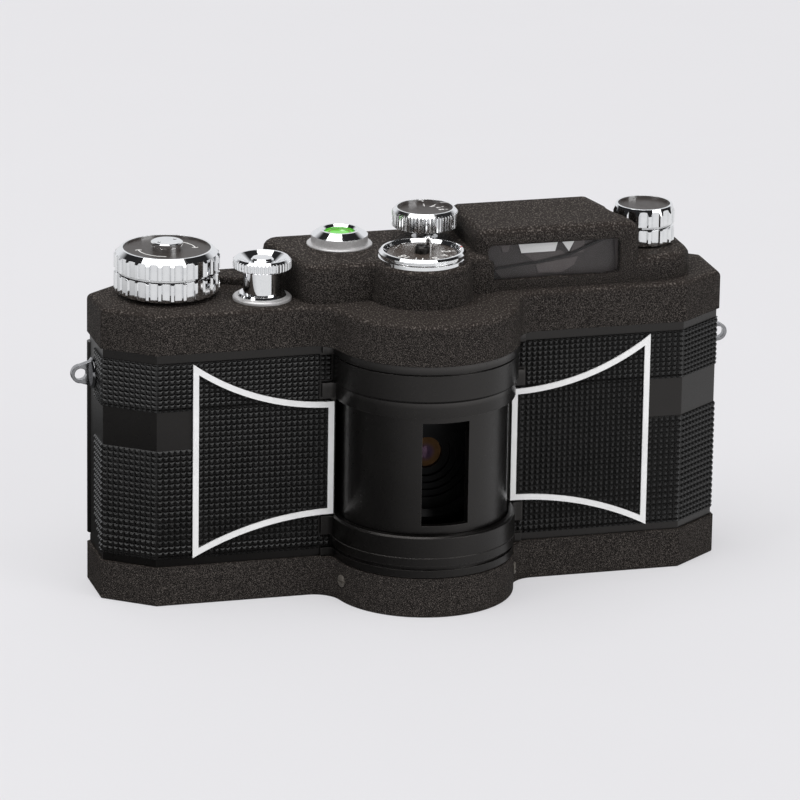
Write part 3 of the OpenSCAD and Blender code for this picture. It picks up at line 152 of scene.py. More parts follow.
class Shader:
    """A material with one Principled shader and short ways to build what feeds it."""

    def __init__(self, name):
        self.material = bpy.data.materials.new(name)
        self.material.use_nodes = True
        self.tree = self.material.node_tree
        self.tree.nodes.clear()
        output = self.add("ShaderNodeOutputMaterial")
        self.bsdf = self.add("ShaderNodeBsdfPrincipled")
        self.link(self.bsdf.outputs["BSDF"], output.inputs["Surface"])
        frames = self.add("ShaderNodeTexCoord")
        self.coords, self.normals = frames.outputs["Object"], frames.outputs["Normal"]
        self.edges = None

    def add(self, kind, **settings):
        node = self.tree.nodes.new(kind)
        for key, value in settings.items():
            setattr(node, key, value)
        return node

    def link(self, source, target):
        self.tree.links.new(source, target)

    def set(self, **values):
        """Sets the shader's own sockets; a word's underscores are the socket name's spaces."""
        for key, value in values.items():
            self.bsdf.inputs[key.replace("_", " ")].default_value = value
        return self

    def feed(self, socket, source):
        self.link(source, self.bsdf.inputs[socket])
        return self

    def coat(self, texture, low, high, smooth, rough):
        """Colour from low to high and roughness from smooth to rough, both along the texture."""
        self.feed("Base Color", self.ramp(texture, low, high))
        return self.feed("Roughness", self.ramp(texture, smooth, rough))

    def stretched(self, scale):
        node = self.add("ShaderNodeMapping")
        node.inputs["Scale"].default_value = scale
        self.link(self.coords, node.inputs["Vector"])
        return node.outputs["Vector"]

    def noise(self, size, detail=2.0, coords=None):
        """Noise with lumps of about that size in metres."""
        node = self.add("ShaderNodeTexNoise")
        node.inputs["Scale"].default_value = 1 / size
        node.inputs["Detail"].default_value = detail
        self.link(coords or self.coords, node.inputs["Vector"])
        return node.outputs["Fac"]

    def vector(self, operation, source, value):
        node = self.add("ShaderNodeVectorMath", operation=operation)
        self.link(source, node.inputs[0])
        node.inputs[1].default_value = value
        return node.outputs["Vector"]

    def reach(self, centre, axes, full):
        """Distance from the centre along those axes, 1 at the full distance."""
        apart = self.vector("SUBTRACT", self.coords, centre)
        apart = self.vector("MULTIPLY", apart, tuple(a / full for a in axes))
        node = self.add("ShaderNodeVectorMath", operation="LENGTH")
        self.link(apart, node.inputs[0])
        return node.outputs["Value"]

    def height(self, level, span):
        """Height over the level, 1 at the span."""
        over = self.vector("SUBTRACT", self.coords, (0, 0, level))
        split = self.add("ShaderNodeSeparateXYZ")
        self.link(self.vector("MULTIPLY", over, (1, 1, 1 / span)), split.inputs[0])
        return split.outputs["Z"]

    def upward(self):
        """1 on faces that look up, 0 on upright ones."""
        split = self.add("ShaderNodeSeparateXYZ")
        self.link(self.normals, split.inputs[0])
        return self.ramp(split.outputs["Z"], 0.0, 1.0, 0.3, 0.9)

    def ramp(self, source, low, high, start=0.3, end=0.7):
        """Colour or grey that runs from low to high while the source runs from start to end."""
        node = self.add("ShaderNodeValToRGB")
        for element, at, value in zip(node.color_ramp.elements, (start, end), (low, high)):
            element.position = at
            element.color = (*value, 1) if isinstance(value, tuple) else (value, value, value, 1)
        self.link(source, node.inputs["Fac"])
        return node.outputs["Color"]

    def levels(self, source, stops):
        """Grey that runs through the stops, each a place and a value, from the first to the last."""
        node = self.add("ShaderNodeValToRGB")
        elements = node.color_ramp.elements
        elements[0].position, elements[1].position = stops[0][0], stops[-1][0]
        for at, _ in stops[1:-1]:
            elements.new(at)
        for element, (_, value) in zip(sorted(elements, key=lambda e: e.position), stops):
            element.color = (value, value, value, 1)
        self.link(source, node.inputs["Fac"])
        return node.outputs["Color"]

    def mix(self, factor, a, b):
        node = self.add("ShaderNodeMix", data_type="RGBA")
        self.link(factor, node.inputs["Factor"])
        self.link(a, node.inputs["A"])
        self.link(b, node.inputs["B"])
        return node.outputs["Result"]

    def rounded(self, radius):
        """Lets edges catch the light as if they were broken by that radius."""
        node = self.add("ShaderNodeBevel", samples=4)
        node.inputs["Radius"].default_value = radius
        self.edges = node.outputs["Normal"]
        return self.feed("Normal", self.edges)

    def painted_edge_highlight(self):
        """Painted highlight mask: 1 on the edges that rounded breaks, 0 on the faces between them."""
        turn = self.add("ShaderNodeVectorMath", operation="DOT_PRODUCT")
        self.link(self.edges, turn.inputs[0])
        self.link(self.add("ShaderNodeNewGeometry").outputs["Normal"], turn.inputs[1])
        return self.ramp(turn.outputs["Value"], 1.0, 0.0, 0.80, 0.985)

    def painted_groove_shade(self, reach):
        """Painted shade mask: 1 deep in hollows of about that width, 0 on open faces."""
        node = self.add("ShaderNodeAmbientOcclusion", samples=4, only_local=True)
        node.inputs["Distance"].default_value = reach
        return self.ramp(node.outputs["AO"], 1.0, 0.0, 0.45, 0.80)

    def bump(self, height, strength, distance):
        node = self.add("ShaderNodeBump")
        node.inputs["Strength"].default_value = strength
        node.inputs["Distance"].default_value = distance
        self.link(height, node.inputs["Height"])
        if self.edges:
            self.link(self.edges, node.inputs["Normal"])
        return self.feed("Normal", node.outputs["Normal"])


# Finishes, one function for each material slot

def crinkle_paint():
    s = Shader("crinkle_paint").set(Specular_IOR_Level=0.01, Specular_Tint=(1.0, 0.90, 0.82, 1.0))
    up = s.upward()
    grain = s.noise(0.20 * MM, 2.0)
    lumps = s.mix(up, s.noise(0.15 * MM, 1.0), s.noise(0.34 * MM, 1.0, s.stretched((1.0, 0.5, 1.0))))
    # Painted glints: bright spots in the base colour, finer on upward faces, stand in for crinkles catching
    # the light.
    painted_glints = s.ramp(lumps, 0.0, 1.0, 0.53, 0.68)
    # Painted light: upward faces get a lighter base colour than upright ones.
    base = s.mix(up, s.ramp(grain, (0.008, 0.0072, 0.0068), (0.020, 0.0180, 0.0168)),
                 s.ramp(grain, (0.017, 0.0142, 0.0126), (0.040, 0.0335, 0.0300)))
    glint_colour = s.ramp(grain, (0.070, 0.061, 0.055), (0.190, 0.167, 0.150))
    s.feed("Base Color", s.mix(painted_glints, base, glint_colour))
    s.feed("Roughness", s.ramp(grain, 0.40, 0.60))
    s.rounded(0.50 * MM).bump(grain, 0.8, 0.14 * MM)
    return s.material


def enamel(name):
    """Satin black enamel, with a painted highlight that makes its edges a little lighter."""
    s = Shader(name).set(Specular_IOR_Level=0.5, Specular_Tint=(1.0, 0.95, 0.92, 1.0))
    cloud = s.noise(9 * MM, 3.0)
    dust_and_highlight = s.noise(0.5 * MM, 2.0)
    s.rounded(0.20 * MM)
    # Painted highlight: the base colour turns lighter along the edges, where rounded edges would catch the
    # light.
    s.feed("Base Color", s.mix(s.painted_edge_highlight(), s.ramp(cloud, (0.0024, 0.0022, 0.0021), (0.0040, 0.0037, 0.0035)),
                               s.ramp(dust_and_highlight, (0.030, 0.028, 0.027), (0.060, 0.056, 0.053))))
    s.feed("Roughness", s.ramp(dust_and_highlight, 0.27, 0.34))
    return s.bump(dust_and_highlight, 0.05, 0.03 * MM)


def satin_black():
    return enamel("satin_black").material


def ring_black():
    """Enamel of the upper ring with painted highlights and shadow: it shines most on its lip and flange, and
    a painted shadow line darkens the joint over the flange.
    """
    s = enamel("ring_black")
    low, high = (corner.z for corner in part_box("upper_front_ring"))
    tall = high - low
    joint = tall - RING_BAND_H
    # Painted highlight and shadow: reflection strength by height, with bright bands at the lip and flange
    # edges and a dark line under the band's overhang.
    painted_shine = ((0.0, 0.45), (joint - 1.6 * MM, 0.50), (joint - 0.5 * MM, 0.90), (joint - 0.3 * MM, 0.04),
             (joint + 0.1 * MM, 0.04), (joint + 0.3 * MM, 0.50), (tall - 2.3 * MM, 0.50),
             (tall - 1.7 * MM, 0.45), (tall - 0.5 * MM, 0.90), (tall, 0.80))
    s.feed("Specular IOR Level", s.levels(s.height(low, tall), [(z / tall, value) for z, value in painted_shine]))
    return s.material


def inner_black():
    s = Shader("inner_black").set(Specular_IOR_Level=0.25)
    cloud = s.noise(3 * MM, 2.0)
    return s.coat(cloud, (0.0016, 0.0015, 0.0015), (0.0030, 0.0028, 0.0027), 0.38, 0.48).material


def leatherette():
    s = Shader("leatherette")
    cloud = s.noise(6 * MM, 3.0)
    pores = s.noise(0.12 * MM, 2.0)
    s.feed("Base Color", s.ramp(cloud, (0.0055, 0.0052, 0.005), (0.0090, 0.0085, 0.0082)))
    s.feed("Roughness", s.ramp(pores, 0.20, 0.30))
    s.bump(pores, 0.12, 0.03 * MM)
    return s.material


def white_trim():
    s = Shader("white_trim")
    cloud = s.noise(7 * MM, 3.0)
    s.feed("Base Color", s.ramp(cloud, (0.80, 0.80, 0.79), (0.86, 0.86, 0.855)))
    s.feed("Roughness", s.ramp(s.noise(0.7 * MM), 0.35, 0.5))
    s.bump(s.noise(0.9 * MM), 0.08, 0.04 * MM)
    return s.material


def chrome():
    s = Shader("chrome").set(Metallic=1.0)
    haze = s.noise(2.5 * MM, 3.0)
    s.coat(haze, (0.88, 0.885, 0.90), (0.94, 0.945, 0.95), 0.04, 0.08)
    s.rounded(0.10 * MM)
    return s.material


def two_chromes(name, node, satin_h):
    """Polished, but satin up to that height over the node's lower end."""
    s = Shader(name).set(Metallic=1.0)
    streaks = s.noise(0.3 * MM, 3.0)
    satin = s.ramp(s.height(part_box(node)[0].z + satin_h, 0.15 * MM), 1.0, 0.0, 0.0, 1.0)
    s.feed("Base Color", s.mix(satin, s.ramp(streaks, (0.88, 0.885, 0.90), (0.94, 0.945, 0.95)),
                               s.ramp(streaks, (0.56, 0.55, 0.55), (0.68, 0.67, 0.67))))
    s.feed("Metallic", s.ramp(satin, 1.0, 0.45, 0.0, 1.0))
    s.feed("Roughness", s.mix(satin, s.ramp(streaks, 0.04, 0.08), s.ramp(streaks, 0.30, 0.40)))
    s.rounded(0.10 * MM)
    return s.material


def release_chrome():
    return two_chromes("release_chrome", "release_collar", RELEASE_SATIN)


def level_chrome():
    return two_chromes("level_chrome", "level_bezel", LEVEL_SATIN)


def ribbed_chrome(name, groove, low, high):
    """Chrome with painted shade darkening the hollows between its ribs, its roughness between the two values.
    """
    s = Shader(name).set(Metallic=1.0)
    haze = s.noise(1.5 * MM, 3.0)
    # Painted shade: the base colour turns dark in the hollows between the ribs.
    s.feed("Base Color", s.mix(s.painted_groove_shade(groove), s.ramp(haze, (0.87, 0.875, 0.89), (0.94, 0.945, 0.95)),
                               s.ramp(haze, (0.05, 0.05, 0.052), (0.09, 0.09, 0.092))))
    s.feed("Roughness", s.ramp(haze, low, high))
    s.rounded(0.08 * MM)
    return s.material


def fine_chrome():
    return ribbed_chrome("fine_chrome", 0.5 * MM, 0.10, 0.16)


def knob_chrome():
    return ribbed_chrome("knob_chrome", 0.6 * MM, 0.04, 0.08)


def lug_chrome():
    s = Shader("lug_chrome").set(Metallic=1.0)
    haze = s.noise(1.0 * MM, 3.0)
    s.coat(haze, (0.26, 0.26, 0.27), (0.36, 0.36, 0.37), 0.08, 0.14)
    s.rounded(0.25 * MM)
    return s.material


def screw_steel():
    s = Shader("screw_steel").set(Metallic=0.6)
    streaks = s.noise(0.3 * MM, 3.0)
    s.coat(streaks, (0.17, 0.155, 0.135), (0.27, 0.245, 0.215), 0.34, 0.46)
    s.rounded(0.10 * MM)
    return s.material


def steel():
    s = Shader("steel").set(Metallic=1.0)
    streaks = s.noise(0.25 * MM, 3.0, s.stretched((1.0, 1.0, 0.08)))
    s.coat(streaks, (0.44, 0.44, 0.45), (0.60, 0.60, 0.61), 0.20, 0.36)
    s.bump(streaks, 0.02, 0.01 * MM)
    return s.material


def brass():
    s = Shader("brass").set(Metallic=1.0)
    streaks = s.noise(0.5 * MM, 3.0, s.stretched((1.0, 1.0, 0.1)))
    return s.coat(streaks, (0.56, 0.43, 0.20), (0.72, 0.58, 0.30), 0.22, 0.36).material


def dial_black():
    s = Shader("dial_black").set(Specular_IOR_Level=0.2)
    brush = s.noise(0.9 * MM, 3.0, s.stretched((1.0, 0.3, 1.0)))
    s.coat(brush, (0.050, 0.043, 0.040), (0.064, 0.056, 0.052), 0.34, 0.44)
    s.bump(brush, 0.03, 0.02 * MM)
    return s.material


def dial_gloss():
    s = Shader("dial_gloss").set(Specular_IOR_Level=0.3)
    brush = s.noise(0.9 * MM, 3.0, s.stretched((1.0, 0.3, 1.0)))
    return s.coat(brush, (0.060, 0.048, 0.041), (0.080, 0.065, 0.056), 0.22, 0.30).material


def eyepiece_glass():
    s = Shader("eyepiece_glass")
    film = s.noise(4 * MM, 2.0)
    return s.coat(film, (0.006, 0.006, 0.007), (0.012, 0.011, 0.012), 0.02, 0.05).material


def finder_glass():
    s = Shader("finder_glass").set(Specular_IOR_Level=0.3, Alpha=0.15)
    film = s.noise(6 * MM, 2.0)
    return s.coat(film, (0.030, 0.028, 0.028), (0.040, 0.037, 0.037), 0.01, 0.03).material


def finder_face(name, shade):
    """Painted face inside the viewfinder, of that grey and slightly warm; its grey stands in for the light
    and shade seen through the front lens.
    """
    s = Shader(name)
    cloud = s.noise(5 * MM, 2.0)
    low, high = (tuple(share * shade * tone for tone in FINDER_TONE) for share in FINDER_SPREAD)
    return s.coat(cloud, low, high, 0.35, 0.5).material


def finder_black():
    return finder_face("finder_black", 0.012)


def finder_dark():
    return finder_face("finder_dark", 0.054)


def finder_grey():
    return finder_face("finder_grey", 0.105)


# Painted light: the brightest of the faces inside the viewfinder.
def finder_white():
    s = Shader("finder_white")
    cloud = s.noise(5 * MM, 2.0)
    return s.coat(cloud, (0.88, 0.88, 0.87), (0.95, 0.95, 0.94), 0.35, 0.5).material


def lens_glass():
    """Coated glass with a painted reflection in its base colour: violet in the middle, amber toward the rim.
    """
    s = Shader("lens_glass").set(IOR=1.6, Specular_Tint=(0.75, 0.45, 0.62, 1.0))
    low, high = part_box("front_lens")
    film = s.noise(2 * MM, 2.0)
    out = s.reach((low + high) / 2, (1.0, 0.0, 1.0), (high.x - low.x) / 2)
    # Painted reflection: the coating's glint, violet in the middle and amber toward the rim.
    core = s.ramp(film, (0.085, 0.050, 0.090), (0.120, 0.072, 0.120))
    amber = s.ramp(film, (0.150, 0.080, 0.034), (0.200, 0.112, 0.050))
    s.feed("Base Color", s.mix(s.ramp(out, 0.0, 1.0, 0.35, 0.65), core, amber))
    s.feed("Roughness", s.ramp(film, 0.03, 0.06))
    return s.material


def level_green():
    # Painted light: the vial glows a little with its own green, though it is no lamp.
    s = Shader("level_green").set(Specular_IOR_Level=0.3, Emission_Strength=0.35)
    cloud = s.noise(2.0 * MM, 2.0)
    green_and_glow = s.ramp(cloud, (0.10, 0.46, 0.04), (0.14, 0.56, 0.06))
    s.feed("Base Color", green_and_glow)
    s.feed("Emission Color", green_and_glow)
    s.feed("Roughness", s.ramp(cloud, 0.10, 0.16))
    return s.material


def spool_black():
    s = Shader("spool_black")
    grain = s.noise(0.4 * MM, 2.0)
    s.coat(grain, (0.016, 0.016, 0.017), (0.026, 0.026, 0.027), 0.45, 0.6)
    s.bump(grain, 0.1, 0.05 * MM)
    return s.material


def mark_white():
    s = Shader("mark_white")
    wear = s.noise(0.4 * MM, 3.0)
    return s.coat(wear, (0.80, 0.79, 0.77), (0.93, 0.92, 0.91), 0.4, 0.6).material


def mark_brown():
    s = Shader("mark_brown")
    wear = s.noise(0.3 * MM, 2.0)
    return s.coat(wear, (0.16, 0.10, 0.05), (0.24, 0.15, 0.08), 0.3, 0.45).material


def mark_red():
    s = Shader("mark_red")
    wear = s.noise(0.3 * MM, 2.0)
    return s.coat(wear, (0.45, 0.03, 0.02), (0.60, 0.05, 0.03), 0.3, 0.45).material


FINISHES = {f.__name__: f() for f in (
    crinkle_paint, satin_black, ring_black, inner_black, leatherette, white_trim, chrome, release_chrome,
    level_chrome, fine_chrome, knob_chrome, lug_chrome, steel, screw_steel, brass, dial_black, dial_gloss,
    eyepiece_glass, finder_glass, finder_black, finder_dark, finder_grey, finder_white, lens_glass,
    level_green, spool_black, mark_white, mark_brown, mark_red)}


def dress(obj, finish):
    obj.data.materials.clear()
    obj.data.materials.append(FINISHES[finish])
    return obj


for part in frame["record"]["subparts"]:
    dress(nodes[part["node"]], part["material_slot"])
for node, finish in (
        ("upper_front_ring", "ring_black"), ("lens_barrel", "inner_black"), ("level_bezel", "level_chrome"),
        ("release_collar", "release_chrome"), ("speed_knob", "fine_chrome"), ("advance_knob", "knob_chrome"),
        ("rewind_knob", "knob_chrome"), ("strap_lug_left", "lug_chrome"), ("strap_lug_right", "lug_chrome"),
        ("base_screws", "screw_steel"), ("aperture_screw", "satin_black"), ("aperture_disc", "dial_gloss"),
        ("viewfinder_rear_lens", "eyepiece_glass")):
    dress(nodes[node], finish)


# Mesh helpers

def piece(name, mesh, body, finish, stands_for=()):
    obj = bpy.data.objects.new(name, mesh)
    bpy.context.scene.collection.objects.link(obj)
    dress(obj, finish)
    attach(obj, body)
    if stands_for:
        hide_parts(*stands_for)
    return obj


def finished(bm, name):
    bmesh.ops.recalc_face_normals(bm, faces=bm.faces)
    mesh = bpy.data.meshes.new(name)
    bm.to_mesh(mesh)
    bm.free()
    return mesh


# Grained covering: rows of small blunt pyramids on a thin sheet that folds round the body

def folded_path(corners, breaks):
    """Stations along the corner points, about one grain apart, with one at each break given as an x."""
    stops = [corners[0]]
    for a, b in zip(corners, corners[1:]):
        for x in sorted(breaks, key=lambda x: (x - a.x) * (b.x - a.x)):
            if min(a.x, b.x) + GRAIN_PITCH < x < max(a.x, b.x) - GRAIN_PITCH:
                stops.append(a.lerp(b, (x - a.x) / (b.x - a.x)))
        stops.append(b)
    return evenly(stops)


def evenly(stops):
    line = [stops[0]]
    for a, b in zip(stops, stops[1:]):
        count = max(1, round((b - a).length / GRAIN_PITCH))
        line += [a.lerp(b, (i + 1) / count) for i in range(count)]
    return line


def out_of(a, b):
    """Unit vector to the right of the way from a to b."""
    along = (b - a).normalized()
    return Vector((along.y, -along.x))


def grained_sheet(name, line, heights, keeps, body, stands_for):
    """Sheet along plan points on the casting, its outside to the right, in the cells that keeps() allows."""
    columns, rows = len(line) - 1, len(heights) - 1
    sides = [out_of(a, b) for a, b in zip(line, line[1:])]
    mitres = []
    for i in range(columns + 1):
        a, b = sides[max(0, i - 1)], sides[min(columns - 1, i)]
        mitres.append((a + b) / (1 + a.dot(b)))
    kept = {(i, j) for i in range(columns) for j in range(rows)
            if keeps((line[i] + line[i + 1]) / 2, (heights[j] + heights[j + 1]) / 2)}
    bm = bmesh.new()
    made = {}

    def corner(i, j, lift):
        if (i, j, lift) not in made:
            flat = line[i] + mitres[i] * lift
            made[i, j, lift] = bm.verts.new((flat.x, flat.y, heights[j]))
        return made[i, j, lift]

    for i, j in kept:
        ring = [(i, j), (i + 1, j), (i + 1, j + 1), (i, j + 1)]
        low = [corner(*c, GRAIN_SHEET) for c in ring]
        top = []
        middle = (line[i] + line[i + 1]) / 2 + sides[i] * SKIN
        centre = Vector((middle.x, middle.y, (heights[j] + heights[j + 1]) / 2))
        for v in low:
            tip = centre + (v.co - centre) * GRAIN_TOP
            tip += Vector((*sides[i], 0)) * (centre - tip).dot(Vector((*sides[i], 0)))
            top.append(bm.verts.new(tip))
        bm.faces.new(top)
        for k in range(4):
            bm.faces.new((low[k], low[k - 3], top[k - 3], top[k]))
        bm.faces.new([corner(*c, 0.0) for c in reversed(ring)])
        for k, (di, dj) in enumerate(((0, -1), (1, 0), (0, 1), (-1, 0))):
            if (i + di, j + dj) not in kept:
                a, b = ring[k], ring[k - 3]
                bm.faces.new((corner(*a, 0.0), corner(*b, 0.0), low[k - 3], low[k]))
    return piece(name, finished(bm, name), body, "leatherette", stands_for)


half_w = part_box("top_cover")[1].x
casting_low, casting_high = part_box("body_casting")
skin_low, skin_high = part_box("covering_right")
trim_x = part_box("trim_frame_right")[1].x
lug_low, lug_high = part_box("strap_lug_right")
front_y = skin_low.y + SKIN
end_x = casting_high.x
chamfer_angle = math.atan2(CHAMFER_D, CHAMFER_W)
casting_set = half_w - end_x
chamfer_x = half_w - CHAMFER_W - casting_set * math.tan(chamfer_angle / 2)
chamfer_y = CHAMFER_D - casting_set + casting_set * math.tan(math.radians(45) - chamfer_angle / 2)
lug_centre = Vector(((lug_low.y + lug_high.y) / 2, (lug_low.z + lug_high.z) / 2))
lug_reach = (lug_high.y - lug_low.y) / 2 + LUG_CUT
low_ring, top_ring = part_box("lower_front_ring"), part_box("upper_front_ring")
ear_x = top_ring[1].x + EAR_GAP
low_top, top_low = low_ring[1].z, top_ring[0].z
casting_foot, casting_top = casting_low.z, casting_high.z
ear_rows = [(casting_foot, casting_foot + LIP_H + EAR_GAP),
            (low_top - LOW_EAR_H - EAR_GAP, low_top + EAR_GAP),
            (top_low - EAR_GAP, top_low + TOP_EAR_H + EAR_GAP),
            (casting_top - LIP_H - EAR_GAP, casting_top)]


def covers_side(point, z):
    x, y = abs(point.x), point.y
    if x > trim_x and BAND_LOW < z < BAND_TOP:
        return False
    if x < ear_x and any(low < z < high for low, high in ear_rows):
        return False
    if x < end_x - END_SLACK:
        return True
    if (Vector((y, z)) - lug_centre).length < lug_reach:
        return False
    return z - skin_low.z > y - (skin_high.y - CORNER_SLOPE)


row_breaks = sorted({skin_low.z, BAND_LOW, BAND_TOP, skin_high.z}
                    | {z for row in ear_rows for z in row if skin_low.z < z < skin_high.z})
grain_heights = [v.y for v in evenly([Vector((0, z)) for z in row_breaks])]
panel_x = -top_ring[0].y + RING_GAP
right_corners = [Vector((panel_x, front_y)), Vector((chamfer_x, front_y)),
                 Vector((end_x, front_y + chamfer_y)), Vector((end_x, skin_high.y))]
right_line = folded_path(right_corners, [ear_x, trim_x])
left_line = [Vector((-p.x, p.y)) for p in reversed(right_line)]
for side, line in (("right", right_line), ("left", left_line)):
    grained_sheet(f"grained_covering_{side}", line, grain_heights, covers_side, "camera_body",
                  [f"covering_{side}"])

back_low, back_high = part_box("back_covering")
back_y = back_high.y - SKIN
back_slope = (back_y - back_low.y) / CHAMFER_D * CHAMFER_W
back_corners = [Vector((chamfer_x + back_slope, back_low.y)), Vector((chamfer_x, back_y)),
                Vector((-chamfer_x, back_y)), Vector((-chamfer_x - back_slope, back_low.y))]
back_heights = [v.y for v in evenly([Vector((0, back_low.z)), Vector((0, back_high.z))])]
grained_sheet("grained_back", evenly(back_corners), back_heights, lambda point, z: True, "door",
              ["back_covering"])


# Painted light and shade inside the viewfinder: flat faces seen through its front lens

# Painted light and shade: outlines of the viewfinder's faces for each finish, as shares of the window's width
# and height.
FINDER_FACES = {
    "finder_dark": [[(-0.04, -0.1), (1.04, -0.1), (1.04, 1.1), (-0.04, 1.1)]],
    "finder_grey": [[(0.08, 1.1), (0.17, 1.1), (0.15, 0.82), (0.11, 0.82)],
                    [(0.27, 0.74), (0.54, 0.80), (0.60, 0.62), (0.36, 0.48)],
                    [(0.65, 1.1), (0.73, 1.1), (0.72, 0.68), (0.62, 0.68)],
                    [(0.36, 0.42), (0.68, 0.58), (0.65, 0.34), (0.56, 0.15), (0.38, 0.17)],
                    [(0.955, 1.1), (1.04, 1.1), (1.04, -0.1), (0.975, -0.1)]],
    "finder_white": [[(0.22, 1.1), (0.53, 1.1), (0.505, 0.76), (0.25, 0.76)],
                     [(0.54, 1.1), (0.66, 1.1), (0.61, 0.73)]],
    "finder_black": [[(0.04, 0.38), (0.36, 0.50), (0.61, 0.67), (0.88, 1.08), (0.94, 1.08), (0.62, 0.61),
                      (0.36, 0.44), (0.04, 0.32)],
                     [(-0.04, -0.1), (0.14, -0.1), (0.04, 0.38), (-0.04, 0.38)]],
}
FINDER_STEP = 0.15 * MM
FINDER_DEPTH = 2.0 * MM
FINDER_SET = 0.5 * MM


def painted_finder_view():
    """Painted faces, as shares of the window's width and height, set out as the view sees them through it.

    Each kind lies a small step in front of the last.
    """
    low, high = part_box("viewfinder_front_lens")
    y = low.y + FINDER_DEPTH
    for finish, faces in FINDER_FACES.items():
        y -= FINDER_STEP
        depth = y - low.y + FINDER_SET
        right = depth * math.tan(-VIEW_AZIMUTH)
        down = depth * math.tan(VIEW_ELEVATION) / math.cos(VIEW_AZIMUTH)
        bm = bmesh.new()
        for face in faces:
            rim = [(low.x + u * (high.x - low.x) + right, low.z + v * (high.z - low.z) - down)
                   for u, v in face]
            front, back = ([bm.verts.new((x, y + d, z)) for x, z in rim] for d in (0, FINDER_STEP / 2))
            bm.faces.new(front)
            bm.faces.new(reversed(back))
            for k in range(len(rim)):
                bm.faces.new((front[k - 1], front[k], back[k], back[k - 1]))
        piece(finish + "_faces", finished(bm, finish), "camera_body", finish)


painted_finder_view()


# Marks on the dials, as thin raised strokes

def stroke(bm, points, width, z):
    """Flat ribbon along the plan points, MARK_LIFT high, with mitred corners."""
    rows = []
    for i, p in enumerate(points):
        before = p - points[i - 1] if i else points[1] - p
        after = points[i + 1] - p if i + 1 < len(points) else before
        a, b = (Vector((-d.y, d.x)).normalized() for d in (before, after))
        side = (a + b) / max(1 + a.dot(b), 0.5) * width / 2
        rows.append([bm.verts.new((*flat, height)) for flat, height in (
            (p - side, z), (p + side, z), (p + side, z + MARK_LIFT), (p - side, z + MARK_LIFT))])
    for a, b in zip(rows, rows[1:]):
        for k in range(4):
            bm.faces.new((a[k], a[k - 3], b[k - 3], b[k]))
    bm.faces.new(reversed(rows[0]))
    bm.faces.new(rows[-1])


def polar(centre, radius, degrees):
    return centre + Vector((math.cos(math.radians(degrees)), math.sin(math.radians(degrees)))) * radius


def arc_points(centre, radius, start, end, step=6):
    count = max(2, round(abs(end - start) / step))
    return [polar(centre, radius, start + (end - start) * i / count) for i in range(count + 1)]


def number(bm, text, centre, radius, degrees, height, z):
    """Plain number whose digits stand side by side with their feet toward the centre."""
    up = polar(Vector((0, 0)), 1.0, degrees)
    right = Vector((up.y, -up.x))
    wide = (len(text) * (DIGIT_W + DIGIT_GAP) - DIGIT_GAP) * height
    for i, digit in enumerate(text):
        start = centre + up * radius + right * (i * (DIGIT_W + DIGIT_GAP) * height - wide / 2)
        for line in DIGIT_STROKES[digit]:
            stroke(bm, [start + right * (u * height) + up * (v * height) for u, v in line], MARK_W, z)


def disc_of(node):
    """Plan centre and top height of a node."""
    low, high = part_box(node)
    return Vector(((low.x + high.x) / 2, (low.y + high.y) / 2)), high.z


def turning_arrows():
    """Two arc arrows that show which way the advance knob turns."""
    centre, z = disc_of("advance_knob_disc")
    bm = bmesh.new()
    for start in ARROW_STARTS:
        end = start - ARROW_SWEEP
        stroke(bm, arc_points(centre, ARROW_R, start, end), MARK_W, z)
        tip = polar(centre, ARROW_R, end)
        for side in (-1, 1):
            back = polar(Vector((0, 0)), ARROW_BARB, end + 90 + side * BARB_TURN)
            stroke(bm, [tip, tip + back], MARK_W, z)
    return piece("advance_arrows", finished(bm, "advance_arrows"), "advance", "mark_white")


def numbered(name, disc, body, numbers, radius, height, tick):
    """Numbers at their angles round a disc, each with a tick between the two radii."""
    centre, z = disc_of(disc)
    bm = bmesh.new()
    for text, degrees in numbers:
        number(bm, text, centre, radius, degrees, height, z)
        stroke(bm, [polar(centre, r, degrees) for r in tick], MARK_W, z)
    return piece(name, finished(bm, name), body, "mark_white")


def index_dot():
    centre, z = disc_of("dial_bezel")
    bm = bmesh.new()
    stroke(bm, [polar(centre, INDEX_R + end * INDEX_L / 2, 0) for end in (-1, 1)], INDEX_W, z)
    return piece("index_dot", finished(bm, "index_dot"), "camera_body", "mark_red")


def level_ring():
    centre, z = disc_of("level_vial")
    bm = bmesh.new()
    stroke(bm, arc_points(centre, LEVEL_RING_R, 0, 360), LEVEL_RING_W, z)
    return piece("level_ring", finished(bm, "level_ring"), "camera_body", "mark_brown")


turning_arrows()
numbered("aperture_numbers", "aperture_disc", "aperture", APERTURE_NUMBERS, APERTURE_NUMBER_R,
         APERTURE_NUMBER_H, APERTURE_TICK)
numbered("speed_marks", "speed_knob_disc", "speed", SPEED_NUMBERS, SPEED_NUMBER_R, SPEED_NUMBER_H, SPEED_TICK)
index_dot()
level_ring()


# Floor, light and view

def along_view(right, forward, up):
    """Point in a frame that is turned with the view: right and forward as seen, up from the floor."""
    turn = Matrix.Rotation(VIEW_AZIMUTH, 3, "Z")
    return turn @ Vector((right, forward, up))


def softbox(name, place, size, watts):
    """Rectangular lamp that looks at the middle of the object."""
    light = bpy.data.lights.new(name, "AREA")
    light.shape = "RECTANGLE"
    light.size, light.size_y = size
    light.energy = watts
    obj = bpy.data.objects.new(name, light)
    obj.location = place
    obj.rotation_mode = "QUATERNION"
    obj.rotation_quaternion = (VIEW_TARGET - place).to_track_quat("-Z", "Y")
    bpy.context.scene.collection.objects.link(obj)
    return obj


for name, (place, size, watts) in SOFTBOXES.items():
    softbox(name, along_view(*place), size, watts)


